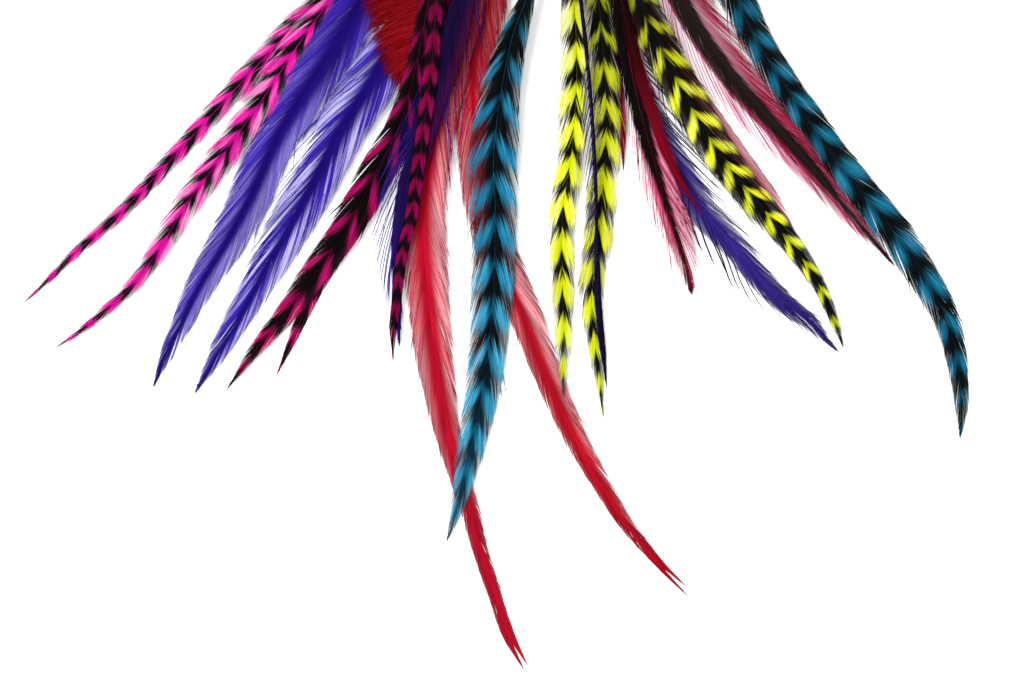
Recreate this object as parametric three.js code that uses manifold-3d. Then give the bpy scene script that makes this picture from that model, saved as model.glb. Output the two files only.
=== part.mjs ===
// Feather hair extension: twenty-two dyed rooster hackles, fanned out from one flat keratin bond.
// Millimetres. The bond lies on the XY plane with the centre of its underside at the origin.
// The feathers leave it towards -Y and lie in shallow layers, with their best side up (+Z).
import * as THREE from "three";
import { mergeVertices } from "three/addons/utils/BufferGeometryUtils.js";
import Module from "manifold-3d";

// The bond: a flat pressed block, wider at the mouth that the quills come out of.
const BOND = {
  length: 18,
  mouthWidth: 20,
  backWidth: 15,
  thickness: 6.2,
  cornerRadius: 2,
  edgeRadius: 0.4,
};

// The blind sockets in the mouth: one to a quill, in three rows.
const SOCKET = {
  depth: 8,
  radius: 0.64,
  sides: 6,
  spacing: 0.8,
  lowestRow: 1.55,
  rowSpacing: 1.55,
  buttGap: 0.4,
  straightBeyond: 2,
};

// The quill swells from its butt to the mouth of the bond, then tapers to the feather's tip.
const QUILL = {
  buttRadius: 0.2,
  mouthRadius: 0.37,
  tipRadius: 0.1,
  bareLength: 10,
  crest: 0.9,
  roundShoulder: 0.85,
};

// The stack: each feather rises to its own layer beyond the bond, and comes down again further out.
const STACK = {
  layerHeight: 0.8,
  outerHeight: 0.75,
  riseStart: 11,
  riseEnd: 36,
  fallStart: 68,
  fallEnd: 190,
};

// The vanes: barbs sweep towards the tip and end in locks that jut from both edges by turns.
const VANE = {
  ringSpacing: 6.3,
  sweep: 1.25,
  longestSweep: 11,
  lockReach: 1.04,
  lockSweep: 1.15,
  notchReach: 0.8,
  notchSweep: 0.55,
  sweepLimit: 0.8,
  shoulder: 0.12,
  shoulderRise: 0.35,
  edgeDroop: 0.4,
  openWidth: 2,
  tipLength: 2.5,
  forkNotch: 0.7,
};

// The feathers from left to right. A route holds points on the shaft, from the bond to the tip:
// x, y, and the width of the vane on the shaft's left and right side there.
// The row is the feather's place in the bond, the layer its place in the stack, and outer its place
// where the fan is open: 0 lies on the surface and 1 on another feather.
const FEATHERS = [
  {
    name: "pink_grizzly_outer", row: 0, layer: 1, outer: 0, color: 0xe0188f,
    route: [
      [-21.5, -31.5, 1.2, 1.2], [-43.5, -54, 3.9, 3.9], [-65, -77.5, 4.2, 4.2], [-76.5, -89, 3.9, 3.9],
      [-95.5, -109.5, 3, 3], [-106.5, -121.5, 2.6, 2.6], [-123, -139, 2.1, 2.1],
      [-138, -152.5, 1.5, 1.5], [-145.5, -160, 0.9, 0.9], [-153.5, -167.5, 0, 0],
    ],
  },
  {
    name: "pink_grizzly_inner", row: 1, layer: 2, outer: 0, color: 0xe0188f,
    route: [
      [-20, -31.5, 1.2, 1.2], [-41, -54, 4.2, 4.2], [-61, -76.5, 5.1, 5.1], [-70.5, -89.5, 5.1, 5.1],
      [-81, -105.5, 5, 5], [-92, -121, 4.6, 4.6], [-103.5, -136.5, 4.2, 4.2], [-112.5, -151, 3.3, 3.3],
      [-120.5, -162, 2.2, 2.2], [-127.5, -168.5, 1.5, 1.5], [-136.5, -176, 0.9, 0.9], [-144, -181, 0, 0],
    ],
  },
  {
    name: "purple_outer", row: 2, layer: 3, outer: 0, color: 0x4a2cb4,
    route: [
      [-18.5, -31.5, 1.8, 1.8], [-37, -54, 6, 6], [-53, -79.5, 7.8, 7.8], [-63, -96, 7.8, 7.8],
      [-76.5, -117, 7.2, 7.2], [-85.5, -136.5, 6.9, 6.6], [-92, -148.5, 6, 6], [-99.5, -160.5, 4.5, 4.5],
      [-107, -175.5, 3, 3], [-111.5, -185, 1.8, 1.8], [-114.5, -192.5, 0, 0],
    ],
  },
  {
    name: "purple_inner", row: 1, layer: 4, outer: 0, color: 0x4a2cb4,
    route: [
      [-14.5, -31.5, 1.8, 1.8], [-28.5, -54, 5.4, 5.4], [-36, -76.5, 7.2, 7.2], [-46.5, -97.5, 7.5, 7.5],
      [-57, -114, 8.4, 7.8], [-65, -129, 8.1, 7.5], [-73, -144, 7.2, 6.6], [-80, -156, 6, 6],
      [-88, -171, 3.9, 3.9], [-97, -186, 2.1, 2.1], [-102, -194.5, 0, 0],
    ],
  },
  {
    name: "magenta_grizzly_wide", row: 2, layer: 7, outer: 1, color: 0xb00560,
    route: [
      [-13, -31.5, 1.5, 1.5], [-25.5, -54, 4.5, 4.5], [-31.5, -76.5, 5.4, 5.4], [-35, -94.5, 5.4, 5.4],
      [-41, -115.5, 5.4, 5.7], [-46.5, -126, 5.2, 5.7], [-53.5, -139.5, 4.8, 5.5],
      [-58.5, -148, 4.6, 4.8], [-66.5, -159, 4.2, 4.5], [-75, -171, 3.3, 3.3], [-83.5, -181, 2.1, 2.1],
      [-92.5, -193.5, 0, 0],
    ],
  },
  {
    name: "magenta_grizzly_slim", row: 1, layer: 6, outer: 0, color: 0xb00560,
    route: [
      [-11.5, -31.5, 1.2, 1.2], [-23.5, -54, 3, 3], [-29.5, -76.5, 3.9, 3.9], [-33.5, -94.5, 3.9, 3.9],
      [-39.5, -115.5, 3.9, 3.9], [-52, -141, 3, 3], [-63, -157.5, 2.7, 2.7], [-69.5, -171, 1.8, 1.8],
      [-73.5, -180, 1.2, 1.2], [-77.5, -189, 0, 0],
    ],
  },
  {
    name: "maroon_grizzly_slim", row: 2, layer: 9, outer: 2.6, color: 0x8c0446,
    route: [
      [-10, -31.5, 0.9, 0.9], [-22, -54, 2.1, 2.1], [-29, -76.5, 2.1, 2.1], [-30.5, -93, 2.1, 2.1],
      [-32.5, -109.5, 2.1, 2.1], [-35, -127.5, 2, 2], [-37, -142, 1.8, 1.8], [-39.5, -151.5, 1.6, 1.6],
      [-41, -163.5, 1.5, 1.5], [-42.5, -175.5, 1.2, 1.2], [-42.5, -185, 0, 0],
    ],
  },
  {
    name: "violet_loose", row: 1, layer: 8, outer: 1.8, color: 0x2c1c8c,
    route: [
      [-7, -31.5, 1.5, 1.5], [-14.5, -54, 4.2, 4.2], [-22, -76.5, 5.4, 5.4], [-25.5, -88.5, 5.4, 7.2],
      [-28.5, -97.5, 6, 7.8], [-31.5, -106.5, 6.6, 7.8], [-37.5, -126, 6.9, 7.2],
      [-40.5, -142.5, 7.8, 5.4], [-41.5, -157.5, 7.2, 3], [-41, -169.5, 3.3, 1.5], [-40.5, -180.5, 0, 0],
    ],
  },
  {
    name: "red_long", row: 0, layer: 5, outer: 0, color: 0xc81428,
    route: [
      [-6.5, -31.5, 1.5, 1.5], [-12.5, -48, 12, 3.6], [-15.5, -58.5, 24, 4.8], [-18.5, -69, 29, 5.4],
      [-20.5, -76.5, 31, 6], [-23, -85.5, 31, 6.6], [-25.5, -94.5, 26, 6.6], [-28, -105, 17, 6.6],
      [-29.5, -112.5, 7.2, 6.6], [-31, -121.5, 6.6, 6.6], [-33.5, -139.5, 6, 6.9], [-33.5, -148.5, 6.3, 7.2],
      [-32, -166.5, 6.3, 6.6], [-30, -184.5, 5.7, 6], [-27.5, -199.5, 4.5, 4.5], [-24.5, -213, 3.6, 3.6],
      [-19.5, -229.5, 2.7, 3], [-16.5, -241.5, 2.1, 2.4], [-12.5, -253.5, 2.1, 2.1], [-8, -267, 1.8, 1.8],
      [-6.5, -270, 1.5, 1.5],
    ],
    fork: { left: [-3, -278], right: [-2, -276.5] },
  },
  {
    name: "red_swept", row: 1, layer: 3, outer: 0, color: 0xc81428,
    route: [
      [-4, -31.5, 1.5, 1.5], [-9.5, -54, 4.2, 4.2], [-15, -76.5, 6, 6], [-18, -94.5, 6, 6],
      [-18.5, -106.5, 6, 6], [-17, -121.5, 6, 6], [-15, -136.5, 6.6, 6], [-11.5, -151.5, 6, 6],
      [-7, -163.5, 5.1, 6], [-3, -172.5, 4.5, 5.4], [1.5, -184.5, 3.9, 4.8], [6.5, -196.5, 3.6, 4.2],
      [13, -210.5, 3, 3.3], [20, -222.5, 2.4, 2.7], [27, -233.5, 2.1, 2.1], [34.5, -242.5, 1.5, 1.5],
      [38.5, -247, 1.2, 1.2],
    ],
    fork: { left: [46.5, -256], right: [46, -253] },
  },
  {
    name: "teal_grizzly_center", row: 2, layer: 6, outer: 1, color: 0x1786aa,
    route: [
      [4.5, -31.5, 0.9, 0.9], [5, -54, 0.9, 0.9], [-2.5, -76.5, 1.8, 2.4], [-6.5, -87, 3.6, 4.5],
      [-9.5, -100.5, 5.7, 5.4], [-11.5, -114, 7.2, 6.3], [-12.5, -126, 8.4, 7.2], [-12, -136.5, 8.7, 6.9],
      [-12, -148.5, 7.5, 6.6], [-12.5, -163.5, 6.6, 6], [-14, -181.5, 6, 5.4], [-16, -195, 5.4, 5.4],
      [-18, -205.5, 4.8, 4.8], [-20.5, -217.5, 3.9, 3.6], [-23, -228, 2.4, 2.1], [-26.5, -239, 0, 0],
    ],
  },
  {
    name: "yellow_grizzly_left", row: 1, layer: 4, outer: 1, color: 0xd8e010,
    route: [
      [5.5, -31.5, 1.2, 1.2], [9.5, -54, 3, 3], [11.5, -76.5, 4.2, 3.6], [12.5, -94.5, 5.1, 3],
      [12, -109.5, 5.1, 3.3], [10.5, -126, 4.2, 3.9], [8.5, -138, 3.9, 4.2], [8, -150, 3.9, 3.9],
      [8.5, -166.5, 3.3, 3.3], [8.5, -181.5, 2.4, 2.4], [8.5, -196, 0, 0],
    ],
  },
  {
    name: "navy_slim", row: 2, layer: 7, outer: 1, color: 0x150a3c,
    route: [
      [6.5, -31.5, 0.9, 0.9], [11, -54, 1.8, 1.8], [13.5, -76.5, 2.4, 1.5], [15.5, -94.5, 2.4, 1.5],
      [17, -112.5, 2.4, 1.5], [18, -130.5, 2.4, 1.5], [18.5, -148.5, 1.8, 1.2], [19, -166.5, 1.2, 0.9],
      [20.5, -183, 0.9, 0.8], [21.5, -193, 0, 0],
    ],
  },
  {
    name: "yellow_grizzly_middle", row: 1, layer: 2, outer: 0, color: 0xd8e010,
    route: [
      [9, -31.5, 1.5, 1.5], [15.5, -54, 3.9, 3.9], [19, -76.5, 5.1, 5.1], [20.5, -94.5, 5.1, 4.8],
      [21.5, -115.5, 4.8, 4.5], [20.5, -130.5, 4.5, 4.5], [19, -148.5, 4.5, 4.5], [17, -163.5, 3.9, 3.6],
      [17.5, -175.5, 2.7, 2.7], [19, -187.5, 1.8, 1.8], [20.5, -201.5, 0, 0],
    ],
  },
  {
    name: "red_thin", row: 2, layer: 5, outer: 1, color: 0xc0102c,
    route: [
      [10, -31.5, 0.6, 0.6], [17, -54, 1.5, 1.5], [21, -76.5, 1.8, 1.8], [23, -91.5, 1.8, 1.8],
      [25, -106.5, 1.2, 1.8], [26, -115.5, 0.9, 1.5], [26.5, -128, 0, 0],
    ],
  },
  {
    name: "indigo_swept", row: 0, layer: 0, outer: 0, color: 0x33267e,
    route: [
      [11, -31.5, 1.2, 1.2], [18.5, -54, 3, 3], [23, -76.5, 4.5, 4.5], [29.5, -99, 4.8, 6.6],
      [36, -115.5, 5.1, 7.8], [41, -125, 5.4, 8.4], [46, -133.5, 6, 8.4], [50.5, -140.5, 7.2, 7.8],
      [55.5, -146, 7.8, 6.9], [61, -152, 8.1, 5.4], [66.5, -159, 7.5, 4.6], [71.5, -164.5, 6.6, 4.2],
      [77, -169, 5.7, 3.4], [83, -173.5, 3.9, 2.6], [87.5, -178.5, 1.8, 1.4], [91, -182, 0, 0],
    ],
  },
  {
    name: "badger_pink_short", row: 1, layer: 6, outer: 0, color: 0xa02850,
    route: [
      [12, -31.5, 1.2, 1.2], [19.5, -54, 3.6, 3.6], [24.5, -76.5, 4.8, 4.8], [27.5, -91.5, 5.1, 5.1],
      [30.5, -106.5, 5.1, 5.1], [34.5, -121.5, 5.4, 5.1], [38.5, -135, 5.4, 5.4], [42.5, -147, 5.7, 5.7],
      [46, -159, 4.2, 3.6], [47, -165, 0, 0],
    ],
  },
  {
    name: "crimson_slim", row: 2, layer: 8, outer: 1, color: 0x7a0018,
    route: [
      [13, -31.5, 0.9, 0.9], [21.5, -54, 1.8, 1.8], [25.5, -76.5, 2.4, 2.4], [29, -91.5, 2.4, 2.4],
      [34.5, -109.5, 2.1, 2.1], [40, -124.5, 1.8, 1.8], [45, -133.5, 1.2, 1.2], [50.5, -141.5, 0, 0],
    ],
  },
  {
    name: "yellow_grizzly_right", row: 1, layer: 7, outer: 1, color: 0xd8e010,
    route: [
      [14.5, -31.5, 1.5, 1.5], [23, -54, 4.2, 4.2], [30.5, -76.5, 5.4, 5.4], [37.5, -91.5, 5.7, 5.7],
      [43.5, -103.5, 5.7, 5.7], [49.5, -114, 5.7, 5.7], [57, -125.5, 5.1, 5.1], [65, -135.5, 4.5, 4.5],
      [73, -145, 3.6, 3.6], [81.5, -156, 2.7, 2.7], [85, -162, 2.1, 2.1], [88, -168.5, 1.6, 1.6],
      [90.5, -175, 1.2, 1.2], [92.5, -181, 0, 0],
    ],
  },
  {
    name: "rose_slim", row: 0, layer: 1, outer: 0, color: 0xc83c5c,
    route: [
      [15.5, -31.5, 1.2, 1.2], [25, -54, 3, 3], [34.5, -79.5, 3.6, 4.2], [46.5, -100.5, 3.6, 4.8],
      [60, -121.5, 3, 3.6], [72, -137.5, 1.8, 2.1], [79, -148.5, 0, 0],
    ],
  },
  {
    name: "badger_pink_long", row: 1, layer: 3, outer: 1, color: 0xa02850,
    route: [
      [18, -31.5, 1.5, 1.5], [31.5, -54, 5.4, 5.4], [44.5, -76.5, 9, 8.4], [49.5, -85, 9.6, 8.4],
      [54, -91.5, 9.6, 7.8], [63, -103.5, 9, 6.6], [72, -114, 7.2, 5.4], [81, -124.5, 6, 4.2],
      [90, -135.5, 3.6, 2.7], [99, -146, 2.1, 1.8], [108, -156.5, 0, 0],
    ],
  },
  {
    name: "teal_grizzly_right", row: 0, layer: 2, outer: 0, color: 0x1786aa,
    route: [
      [27, -31.5, 1.5, 1.5], [46, -54, 4.2, 4.2], [60.5, -76.5, 5.1, 5.1], [64.5, -85.5, 5.1, 5.1],
      [72, -98, 4.9, 4.6], [80, -110, 4.9, 4.5], [88.5, -122.5, 5.1, 5], [97.5, -134, 5.4, 5.2],
      [107, -145.5, 5.2, 5.4], [116.5, -159, 5.1, 4.8], [123.5, -172.5, 3.9, 4], [127, -187.5, 3, 3],
      [128, -201, 1.8, 1.8], [127.5, -208, 0, 0],
    ],
  },
];

const MOUTH_Y = -BOND.length / 2;
const CURVE_STEPS_PER_POINT = 40;
const { lerp, smoothstep } = THREE.MathUtils;

const wasm = await Module();
wasm.setup();

// A closed three.js geometry as a solid that can be cut.
function toSolid(geometry) {
  const bare = geometry.index ? geometry.toNonIndexed() : geometry.clone();
  bare.deleteAttribute("normal");
  bare.deleteAttribute("uv");
  const merged = mergeVertices(bare, 1e-4);
  const mesh = new wasm.Mesh({
    numProp: 3,
    vertProperties: merged.attributes.position.array,
    triVerts: new Uint32Array(merged.index.array),
  });
  return new wasm.Manifold(mesh);
}

// A cut solid as a flat-shaded three.js geometry.
function toGeometry(solid) {
  const mesh = solid.getMesh();
  const shared = new THREE.BufferGeometry();
  shared.setAttribute("position", new THREE.BufferAttribute(mesh.vertProperties, 3));
  shared.setIndex(new THREE.BufferAttribute(mesh.triVerts, 1));
  const geometry = shared.toNonIndexed();
  geometry.computeVertexNormals();
  return geometry;
}

// Where a feather's quill sits in the mouth of the bond.
function socketPlace(feather, place) {
  return {
    x: (place - (FEATHERS.length - 1) / 2) * SOCKET.spacing,
    z: SOCKET.lowestRow + feather.row * SOCKET.rowSpacing,
  };
}

// The bond's outline seen from above: a trapezium with rounded corners.
function bondOutline() {
  const inset = BOND.edgeRadius;
  const mouth = BOND.mouthWidth / 2 - inset;
  const back = BOND.backWidth / 2 - inset;
  const half = BOND.length / 2 - inset;
  const r = BOND.cornerRadius;
  const outline = new THREE.Shape();
  outline.moveTo(-mouth + r, -half);
  outline.lineTo(mouth - r, -half);
  outline.quadraticCurveTo(mouth, -half, mouth, -half + r);
  outline.lineTo(back, half - r);
  outline.quadraticCurveTo(back, half, back - r, half);
  outline.lineTo(-back + r, half);
  outline.quadraticCurveTo(-back, half, -back, half - r);
  outline.lineTo(-mouth, -half + r);
  outline.quadraticCurveTo(-mouth, -half, -mouth + r, -half);
  return outline;
}

// The bond with its blind sockets.
function bondGeometry() {
  const block = new THREE.ExtrudeGeometry(bondOutline(), {
    depth: BOND.thickness - 2 * BOND.edgeRadius,
    bevelThickness: BOND.edgeRadius,
    bevelSize: BOND.edgeRadius,
    bevelSegments: 2,
    curveSegments: 4,
  });
  block.translate(0, 0, BOND.edgeRadius);
  let solid = toSolid(block);
  const overshoot = 1;
  FEATHERS.forEach((feather, place) => {
    const { x, z } = socketPlace(feather, place);
    const length = SOCKET.depth + overshoot;
    const socket = new THREE.CylinderGeometry(SOCKET.radius, SOCKET.radius, length, SOCKET.sides);
    socket.translate(x, MOUTH_Y - overshoot + length / 2, z);
    solid = solid.subtract(toSolid(socket));
  });
  return toGeometry(solid);
}

// The shaft's line seen from above: straight in its socket, then a smooth curve through the route.
function shaftCurve(feather, place) {
  const { x } = socketPlace(feather, place);
  const buttY = MOUTH_Y + SOCKET.depth - SOCKET.buttGap;
  const straight = [buttY, (buttY + MOUTH_Y) / 2, MOUTH_Y, MOUTH_Y - SOCKET.straightBeyond];
  const points = straight.map((y) => new THREE.Vector3(x, y, 0));
  feather.route.forEach(([px, py]) => points.push(new THREE.Vector3(px, py, 0)));
  const curve = new THREE.CatmullRomCurve3(points, false, "centripetal");
  const steps = (points.length - 1) * CURVE_STEPS_PER_POINT;
  curve.arcLengthDivisions = steps;
  const lengths = curve.getLengths(steps);
  const stations = feather.route.map(([, , left, right], i) => {
    const step = (straight.length + i) * CURVE_STEPS_PER_POINT;
    return { s: lengths[step], left, right };
  });
  const bareEnd = { s: SOCKET.depth + QUILL.bareLength, left: 0, right: 0 };
  return { curve, length: lengths[steps], stations: [bareEnd, ...stations] };
}

// The vane's width at a distance along the shaft, between the two stations around it.
function vaneWidth(stations, side, s) {
  if (s <= stations[0].s) return 0;
  for (let i = 1; i < stations.length; i++) {
    const near = stations[i - 1];
    const far = stations[i];
    if (s <= far.s) return lerp(near[side], far[side], (s - near.s) / (far.s - near.s));
  }
  return stations[stations.length - 1][side];
}

function quillRadius(s, length) {
  if (s < SOCKET.depth) return lerp(QUILL.buttRadius, QUILL.mouthRadius, s / SOCKET.depth);
  return lerp(QUILL.mouthRadius, QUILL.tipRadius, (s - SOCKET.depth) / (length - SOCKET.depth));
}

// The height of the quill's centre line.
function shaftHeight(feather, place, s, length) {
  const radius = quillRadius(s, length);
  const inBond = socketPlace(feather, place).z;
  const stacked = feather.layer * STACK.layerHeight;
  const open = feather.outer * STACK.outerHeight;
  const beyond = lerp(stacked, open, smoothstep(s, STACK.fallStart, STACK.fallEnd)) + radius;
  return lerp(inBond, beyond, smoothstep(s, STACK.riseStart, STACK.riseEnd));
}

// The distances along the shaft at which a cross-section stands.
function ringPlaces(length, forked) {
  const first = SOCKET.depth + QUILL.bareLength;
  const last = length - (forked ? 0 : VANE.tipLength);
  const count = Math.round((last - first) / VANE.ringSpacing);
  const places = [0, SOCKET.depth, (SOCKET.depth + first) / 2];
  for (let i = 0; i <= count; i++) places.push(lerp(first, last, i / count));
  return places;
}

// A feather: rings of six points around the shaft (left edge, left shoulder, crest, right shoulder,
// right edge, keel), closed at the butt and at the tip.
function featherGeometry(feather, place) {
  const { curve, length, stations } = shaftCurve(feather, place);
  const up = new THREE.Vector3(0, 0, 1);
  const pointAt = (s) => curve.getPointAt(Math.min(s / length, 1));
  const tangentAt = (s) => curve.getTangentAt(Math.min(s / length, 1));
  const heightAt = (s) => shaftHeight(feather, place, s, length);

  // A point beside the shaft; the left side is -X on a feather that runs towards -Y.
  function beside(s, side, reach, height) {
    const across = new THREE.Vector3().crossVectors(tangentAt(s), up);
    const sign = side === "left" ? 1 : -1;
    return pointAt(s).addScaledVector(across, sign * reach).setZ(height);
  }

  function edge(s, side, isLock, radius) {
    const here = vaneWidth(stations, side, s);
    const swept = Math.min(VANE.sweep * here, VANE.longestSweep);
    const shift = swept * (isLock ? VANE.lockSweep : VANE.notchSweep);
    const edgeS = s + Math.min(shift, VANE.sweepLimit * (length - s));
    const reach = vaneWidth(stations, side, edgeS) * (isLock ? VANE.lockReach : VANE.notchReach);
    const bare = here === 0;
    const height = heightAt(bare ? s : edgeS) - (bare ? 0 : VANE.edgeDroop * radius);
    return beside(bare ? s : edgeS, side, Math.max(reach * (bare ? 0 : 1), radius), height);
  }

  const forked = Boolean(feather.fork);
  const places = ringPlaces(length, forked);
  const rings = places.map((s, i) => {
    const radius = quillRadius(s, length);
    const z = heightAt(s);
    const opened = Math.min(vaneWidth(stations, "left", s) / VANE.openWidth, 1);
    const shoulder = lerp(radius / 2, radius + VANE.shoulder, opened);
    const shoulderZ = z + radius * lerp(QUILL.roundShoulder, VANE.shoulderRise, opened);
    const ring = [
      edge(s, "left", i % 2 === 0, radius),
      beside(s, "left", shoulder, shoulderZ),
      pointAt(s).setZ(z + QUILL.crest * radius),
      beside(s, "right", shoulder, shoulderZ),
      edge(s, "right", i % 2 === 1, radius),
      pointAt(s).setZ(z - radius),
    ];
    if (forked && i === places.length - 1) {
      ring[0].set(...feather.fork.left, z);
      ring[4].set(...feather.fork.right, z);
    }
    return ring;
  });

  const triangles = [];
  const sides = 6;
  for (let k = 0; k + 1 < rings.length; k++) {
    for (let i = 0; i < sides; i++) {
      const j = (i + 1) % sides;
      const near = rings[k];
      const far = rings[k + 1];
      triangles.push([near[i], far[i], near[j]], [near[j], far[i], far[j]]);
    }
  }
  const butt = pointAt(0).setZ(heightAt(0));
  const tip = pointAt(length).setZ(heightAt(length));
  if (forked) tip.addScaledVector(tangentAt(length), VANE.forkNotch);
  const firstRing = rings[0];
  const lastRing = rings[rings.length - 1];
  for (let i = 0; i < sides; i++) {
    const j = (i + 1) % sides;
    triangles.push([butt, firstRing[i], firstRing[j]], [tip, lastRing[j], lastRing[i]]);
  }
  const geometry = new THREE.BufferGeometry().setFromPoints(triangles.flat());
  geometry.computeVertexNormals();
  return geometry;
}

const extension = new THREE.Group();

const bondMaterial = new THREE.MeshStandardMaterial({ color: 0xb98a52, roughness: 0.35, metalness: 0 });
const bond = new THREE.Mesh(bondGeometry(), bondMaterial);
bond.name = "keratin_bond";
extension.add(bond);

FEATHERS.forEach((feather, place) => {
  const material = new THREE.MeshStandardMaterial({ color: feather.color, roughness: 0.7, metalness: 0 });
  const mesh = new THREE.Mesh(featherGeometry(feather, place), material);
  mesh.name = feather.name;
  extension.add(mesh);
});

export default extension;
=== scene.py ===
"""The looks of a feather hair extension: dyed rooster hackles fanned out from one keratin bond.

Every feather is a tapered shaft with hundreds of single barbs, which lie in the place of its plain solid.
Lengths in the classes are millimetres in the part's frame; meshes are made in metres.
"""

import logging
import math
from collections.abc import Callable
from dataclasses import dataclass, field, replace
from enum import Enum

import bpy
import numpy as np
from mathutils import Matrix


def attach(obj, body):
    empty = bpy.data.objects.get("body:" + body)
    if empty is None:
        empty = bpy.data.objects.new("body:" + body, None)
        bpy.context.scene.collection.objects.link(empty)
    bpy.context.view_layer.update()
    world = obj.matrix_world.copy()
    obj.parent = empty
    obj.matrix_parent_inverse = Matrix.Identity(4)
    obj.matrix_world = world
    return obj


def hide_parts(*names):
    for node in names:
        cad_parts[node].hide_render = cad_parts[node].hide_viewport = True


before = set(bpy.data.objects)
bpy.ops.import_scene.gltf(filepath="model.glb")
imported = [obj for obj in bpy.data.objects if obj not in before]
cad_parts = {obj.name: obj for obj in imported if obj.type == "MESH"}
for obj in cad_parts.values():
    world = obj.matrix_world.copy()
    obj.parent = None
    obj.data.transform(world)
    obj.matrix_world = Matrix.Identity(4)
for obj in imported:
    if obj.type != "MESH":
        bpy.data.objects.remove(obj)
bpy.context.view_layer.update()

LOG = logging.getLogger("feather_extension")
MM = 0.001
BAKE_MAP = "OFBake"
ROOT_BODY = "root"
SEED = 4100  # of the first feather's random draws

# What all barbs and shafts share; lengths are millimetres.
WHOLE = 999.0  # a distance along the shaft past every feather's end
STATIONS = 6  # points along a barb of a vane
TUFT_STATIONS = 7  # points along a loose barb
LEAST_HEIGHT = 0.06  # of a barb's middle over the surface
LEAST_OUT = 0.02  # of a barb's points from the shaft's line
LEAST_REACH = 0.1  # added to every barb's reach
TIP_GAP = 1.5  # between the last barb's root and the shaft's end
BARE_OVERLAP = 3.0  # how far the first barbs reach back over the bare quill
LEAST_RUN = 0.8  # of a barb along the shaft
FORK_RUN = 18.0  # of shaft before a forked tip, on which the prongs' barbs are rooted
PRONG_WIDTH = 0.24  # of those barbs
PEAK_HALF = 0.8  # distance from the shaft over which a bar's peak falls off
BLUSH_RAMP = 1.5  # distance over which the dark pigment's tint sets in
TONE_STEP = 7.0  # distance over which the tone of neighbouring barbs drifts
RACHIS_STEP = 2.5  # length of the shaft's mesh between two rings
SPAN_MARGIN = 1.3  # the bake map's half width by the widest vane
MAP_MARGIN = 0.001  # the border that the bake map leaves free
KERATIN_IOR = 1.54  # of barbs and shafts

Profile = float | tuple[tuple[float, float], ...]
Input = bpy.types.NodeSocket | float | tuple[float, ...]


class Side(Enum):
    """The two sides of a shaft, as signs on the line that crosses it."""

    LEFT = 1.0
    RIGHT = -1.0


def linear(hex_code: str) -> tuple[float, ...]:
    """Turns an sRGB colour, as a hash and six hex digits, to the linear RGBA that a shader socket takes."""
    channels = [int(hex_code[i:i + 2], 16) / 255 for i in (1, 3, 5)]
    return *(c / 12.92 if c <= 0.04045 else ((c + 0.055) / 1.055) ** 2.4 for c in channels), 1.0


class Shader:
    """A material in the making, with short calls for the nodes that the looks are made of."""

    def __init__(self, name: str) -> None:
        """Starts a material with an empty node tree."""
        self.material = bpy.data.materials.new(name)
        self.material.use_nodes = True
        self.tree = self.material.node_tree
        self.tree.nodes.clear()

    def node(self, kind: str, inputs: dict, output: int | str = 0, **settings) -> bpy.types.NodeSocket:
        """Adds a node with its settings, values and links.

        Args:
            kind: the node's Blender type name, after ShaderNode.
            inputs: socket name or index to a value, or to the output socket that feeds it.
            output: the name or index of the output to return.
            settings: the node's own properties.

        Returns:
            That output of the new node.
        """
        node = self.tree.nodes.new(f"ShaderNode{kind}")
        for name, value in settings.items():
            setattr(node, name, value)
        for key, value in inputs.items():
            if isinstance(value, bpy.types.NodeSocket):
                self.tree.links.new(value, node.inputs[key])
            else:
                node.inputs[key].default_value = value
        return node.outputs[output]

    def read(self, label: str) -> bpy.types.NodeSocket:
        """Reads a value that the mesh's points carry."""
        return self.node("Attribute", {}, "Fac", attribute_name=label)

    def place(self) -> bpy.types.NodeSocket:
        """The shaded place, in the object's own metres."""
        return self.node("TexCoord", {}, "Object")

    def clouds(self, size: float, detail: float) -> bpy.types.NodeSocket:
        """Soft noise from 0 to 1, with clouds of that many millimetres."""
        return self.node("TexNoise", {"Vector": self.place(), "Scale": 1 / (size * MM), "Detail": detail})

    def math(self, operation: str, *values: Input, **settings) -> bpy.types.NodeSocket:
        """Works out a number from one, two or three others."""
        return self.node("Math", dict(enumerate(values)), operation=operation, **settings)

    def mix(self, amount: Input, first: Input, second: Input) -> bpy.types.NodeSocket:
        """Mixes two colours."""
        return self.node("Mix", {0: amount, 6: first, 7: second}, 2, data_type="RGBA")

    def brighten(self, value: Input, colour: Input) -> bpy.types.NodeSocket:
        """Multiplies a colour's brightness."""
        return self.node("HueSaturation", {"Value": value, "Color": colour})

    def ramp(self, value: Input, low: float, high: float, to_low: float = 0.0,
             to_high: float = 1.0) -> bpy.types.NodeSocket:
        """Maps a value smoothly from one range to another."""
        return self.node("MapRange", {
            "Value": value, "From Min": low, "From Max": high, "To Min": to_low, "To Max": to_high,
        }, interpolation_type="SMOOTHSTEP")

    def close(self, colour: Input, roughness: float, inputs: dict, glow: float = 0.0) -> bpy.types.Material:
        """Ends the material with a surface.

        Args:
            colour: the surface's colour, or the output socket that gives it.
            roughness: the surface's roughness.
            inputs: more inputs of the Principled shader.
            glow: the share of light that goes through.

        Returns:
            The finished material.
        """
        surface = self.node("BsdfPrincipled", {"Base Color": colour, "Roughness": roughness} | inputs)
        if glow:
            through = self.node("BsdfTranslucent", {"Color": colour})
            surface = self.node("MixShader", {0: glow, 1: surface, 2: through})
        output = self.tree.nodes.new("ShaderNodeOutputMaterial")
        self.tree.links.new(surface, output.inputs[0])
        return self.material


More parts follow.
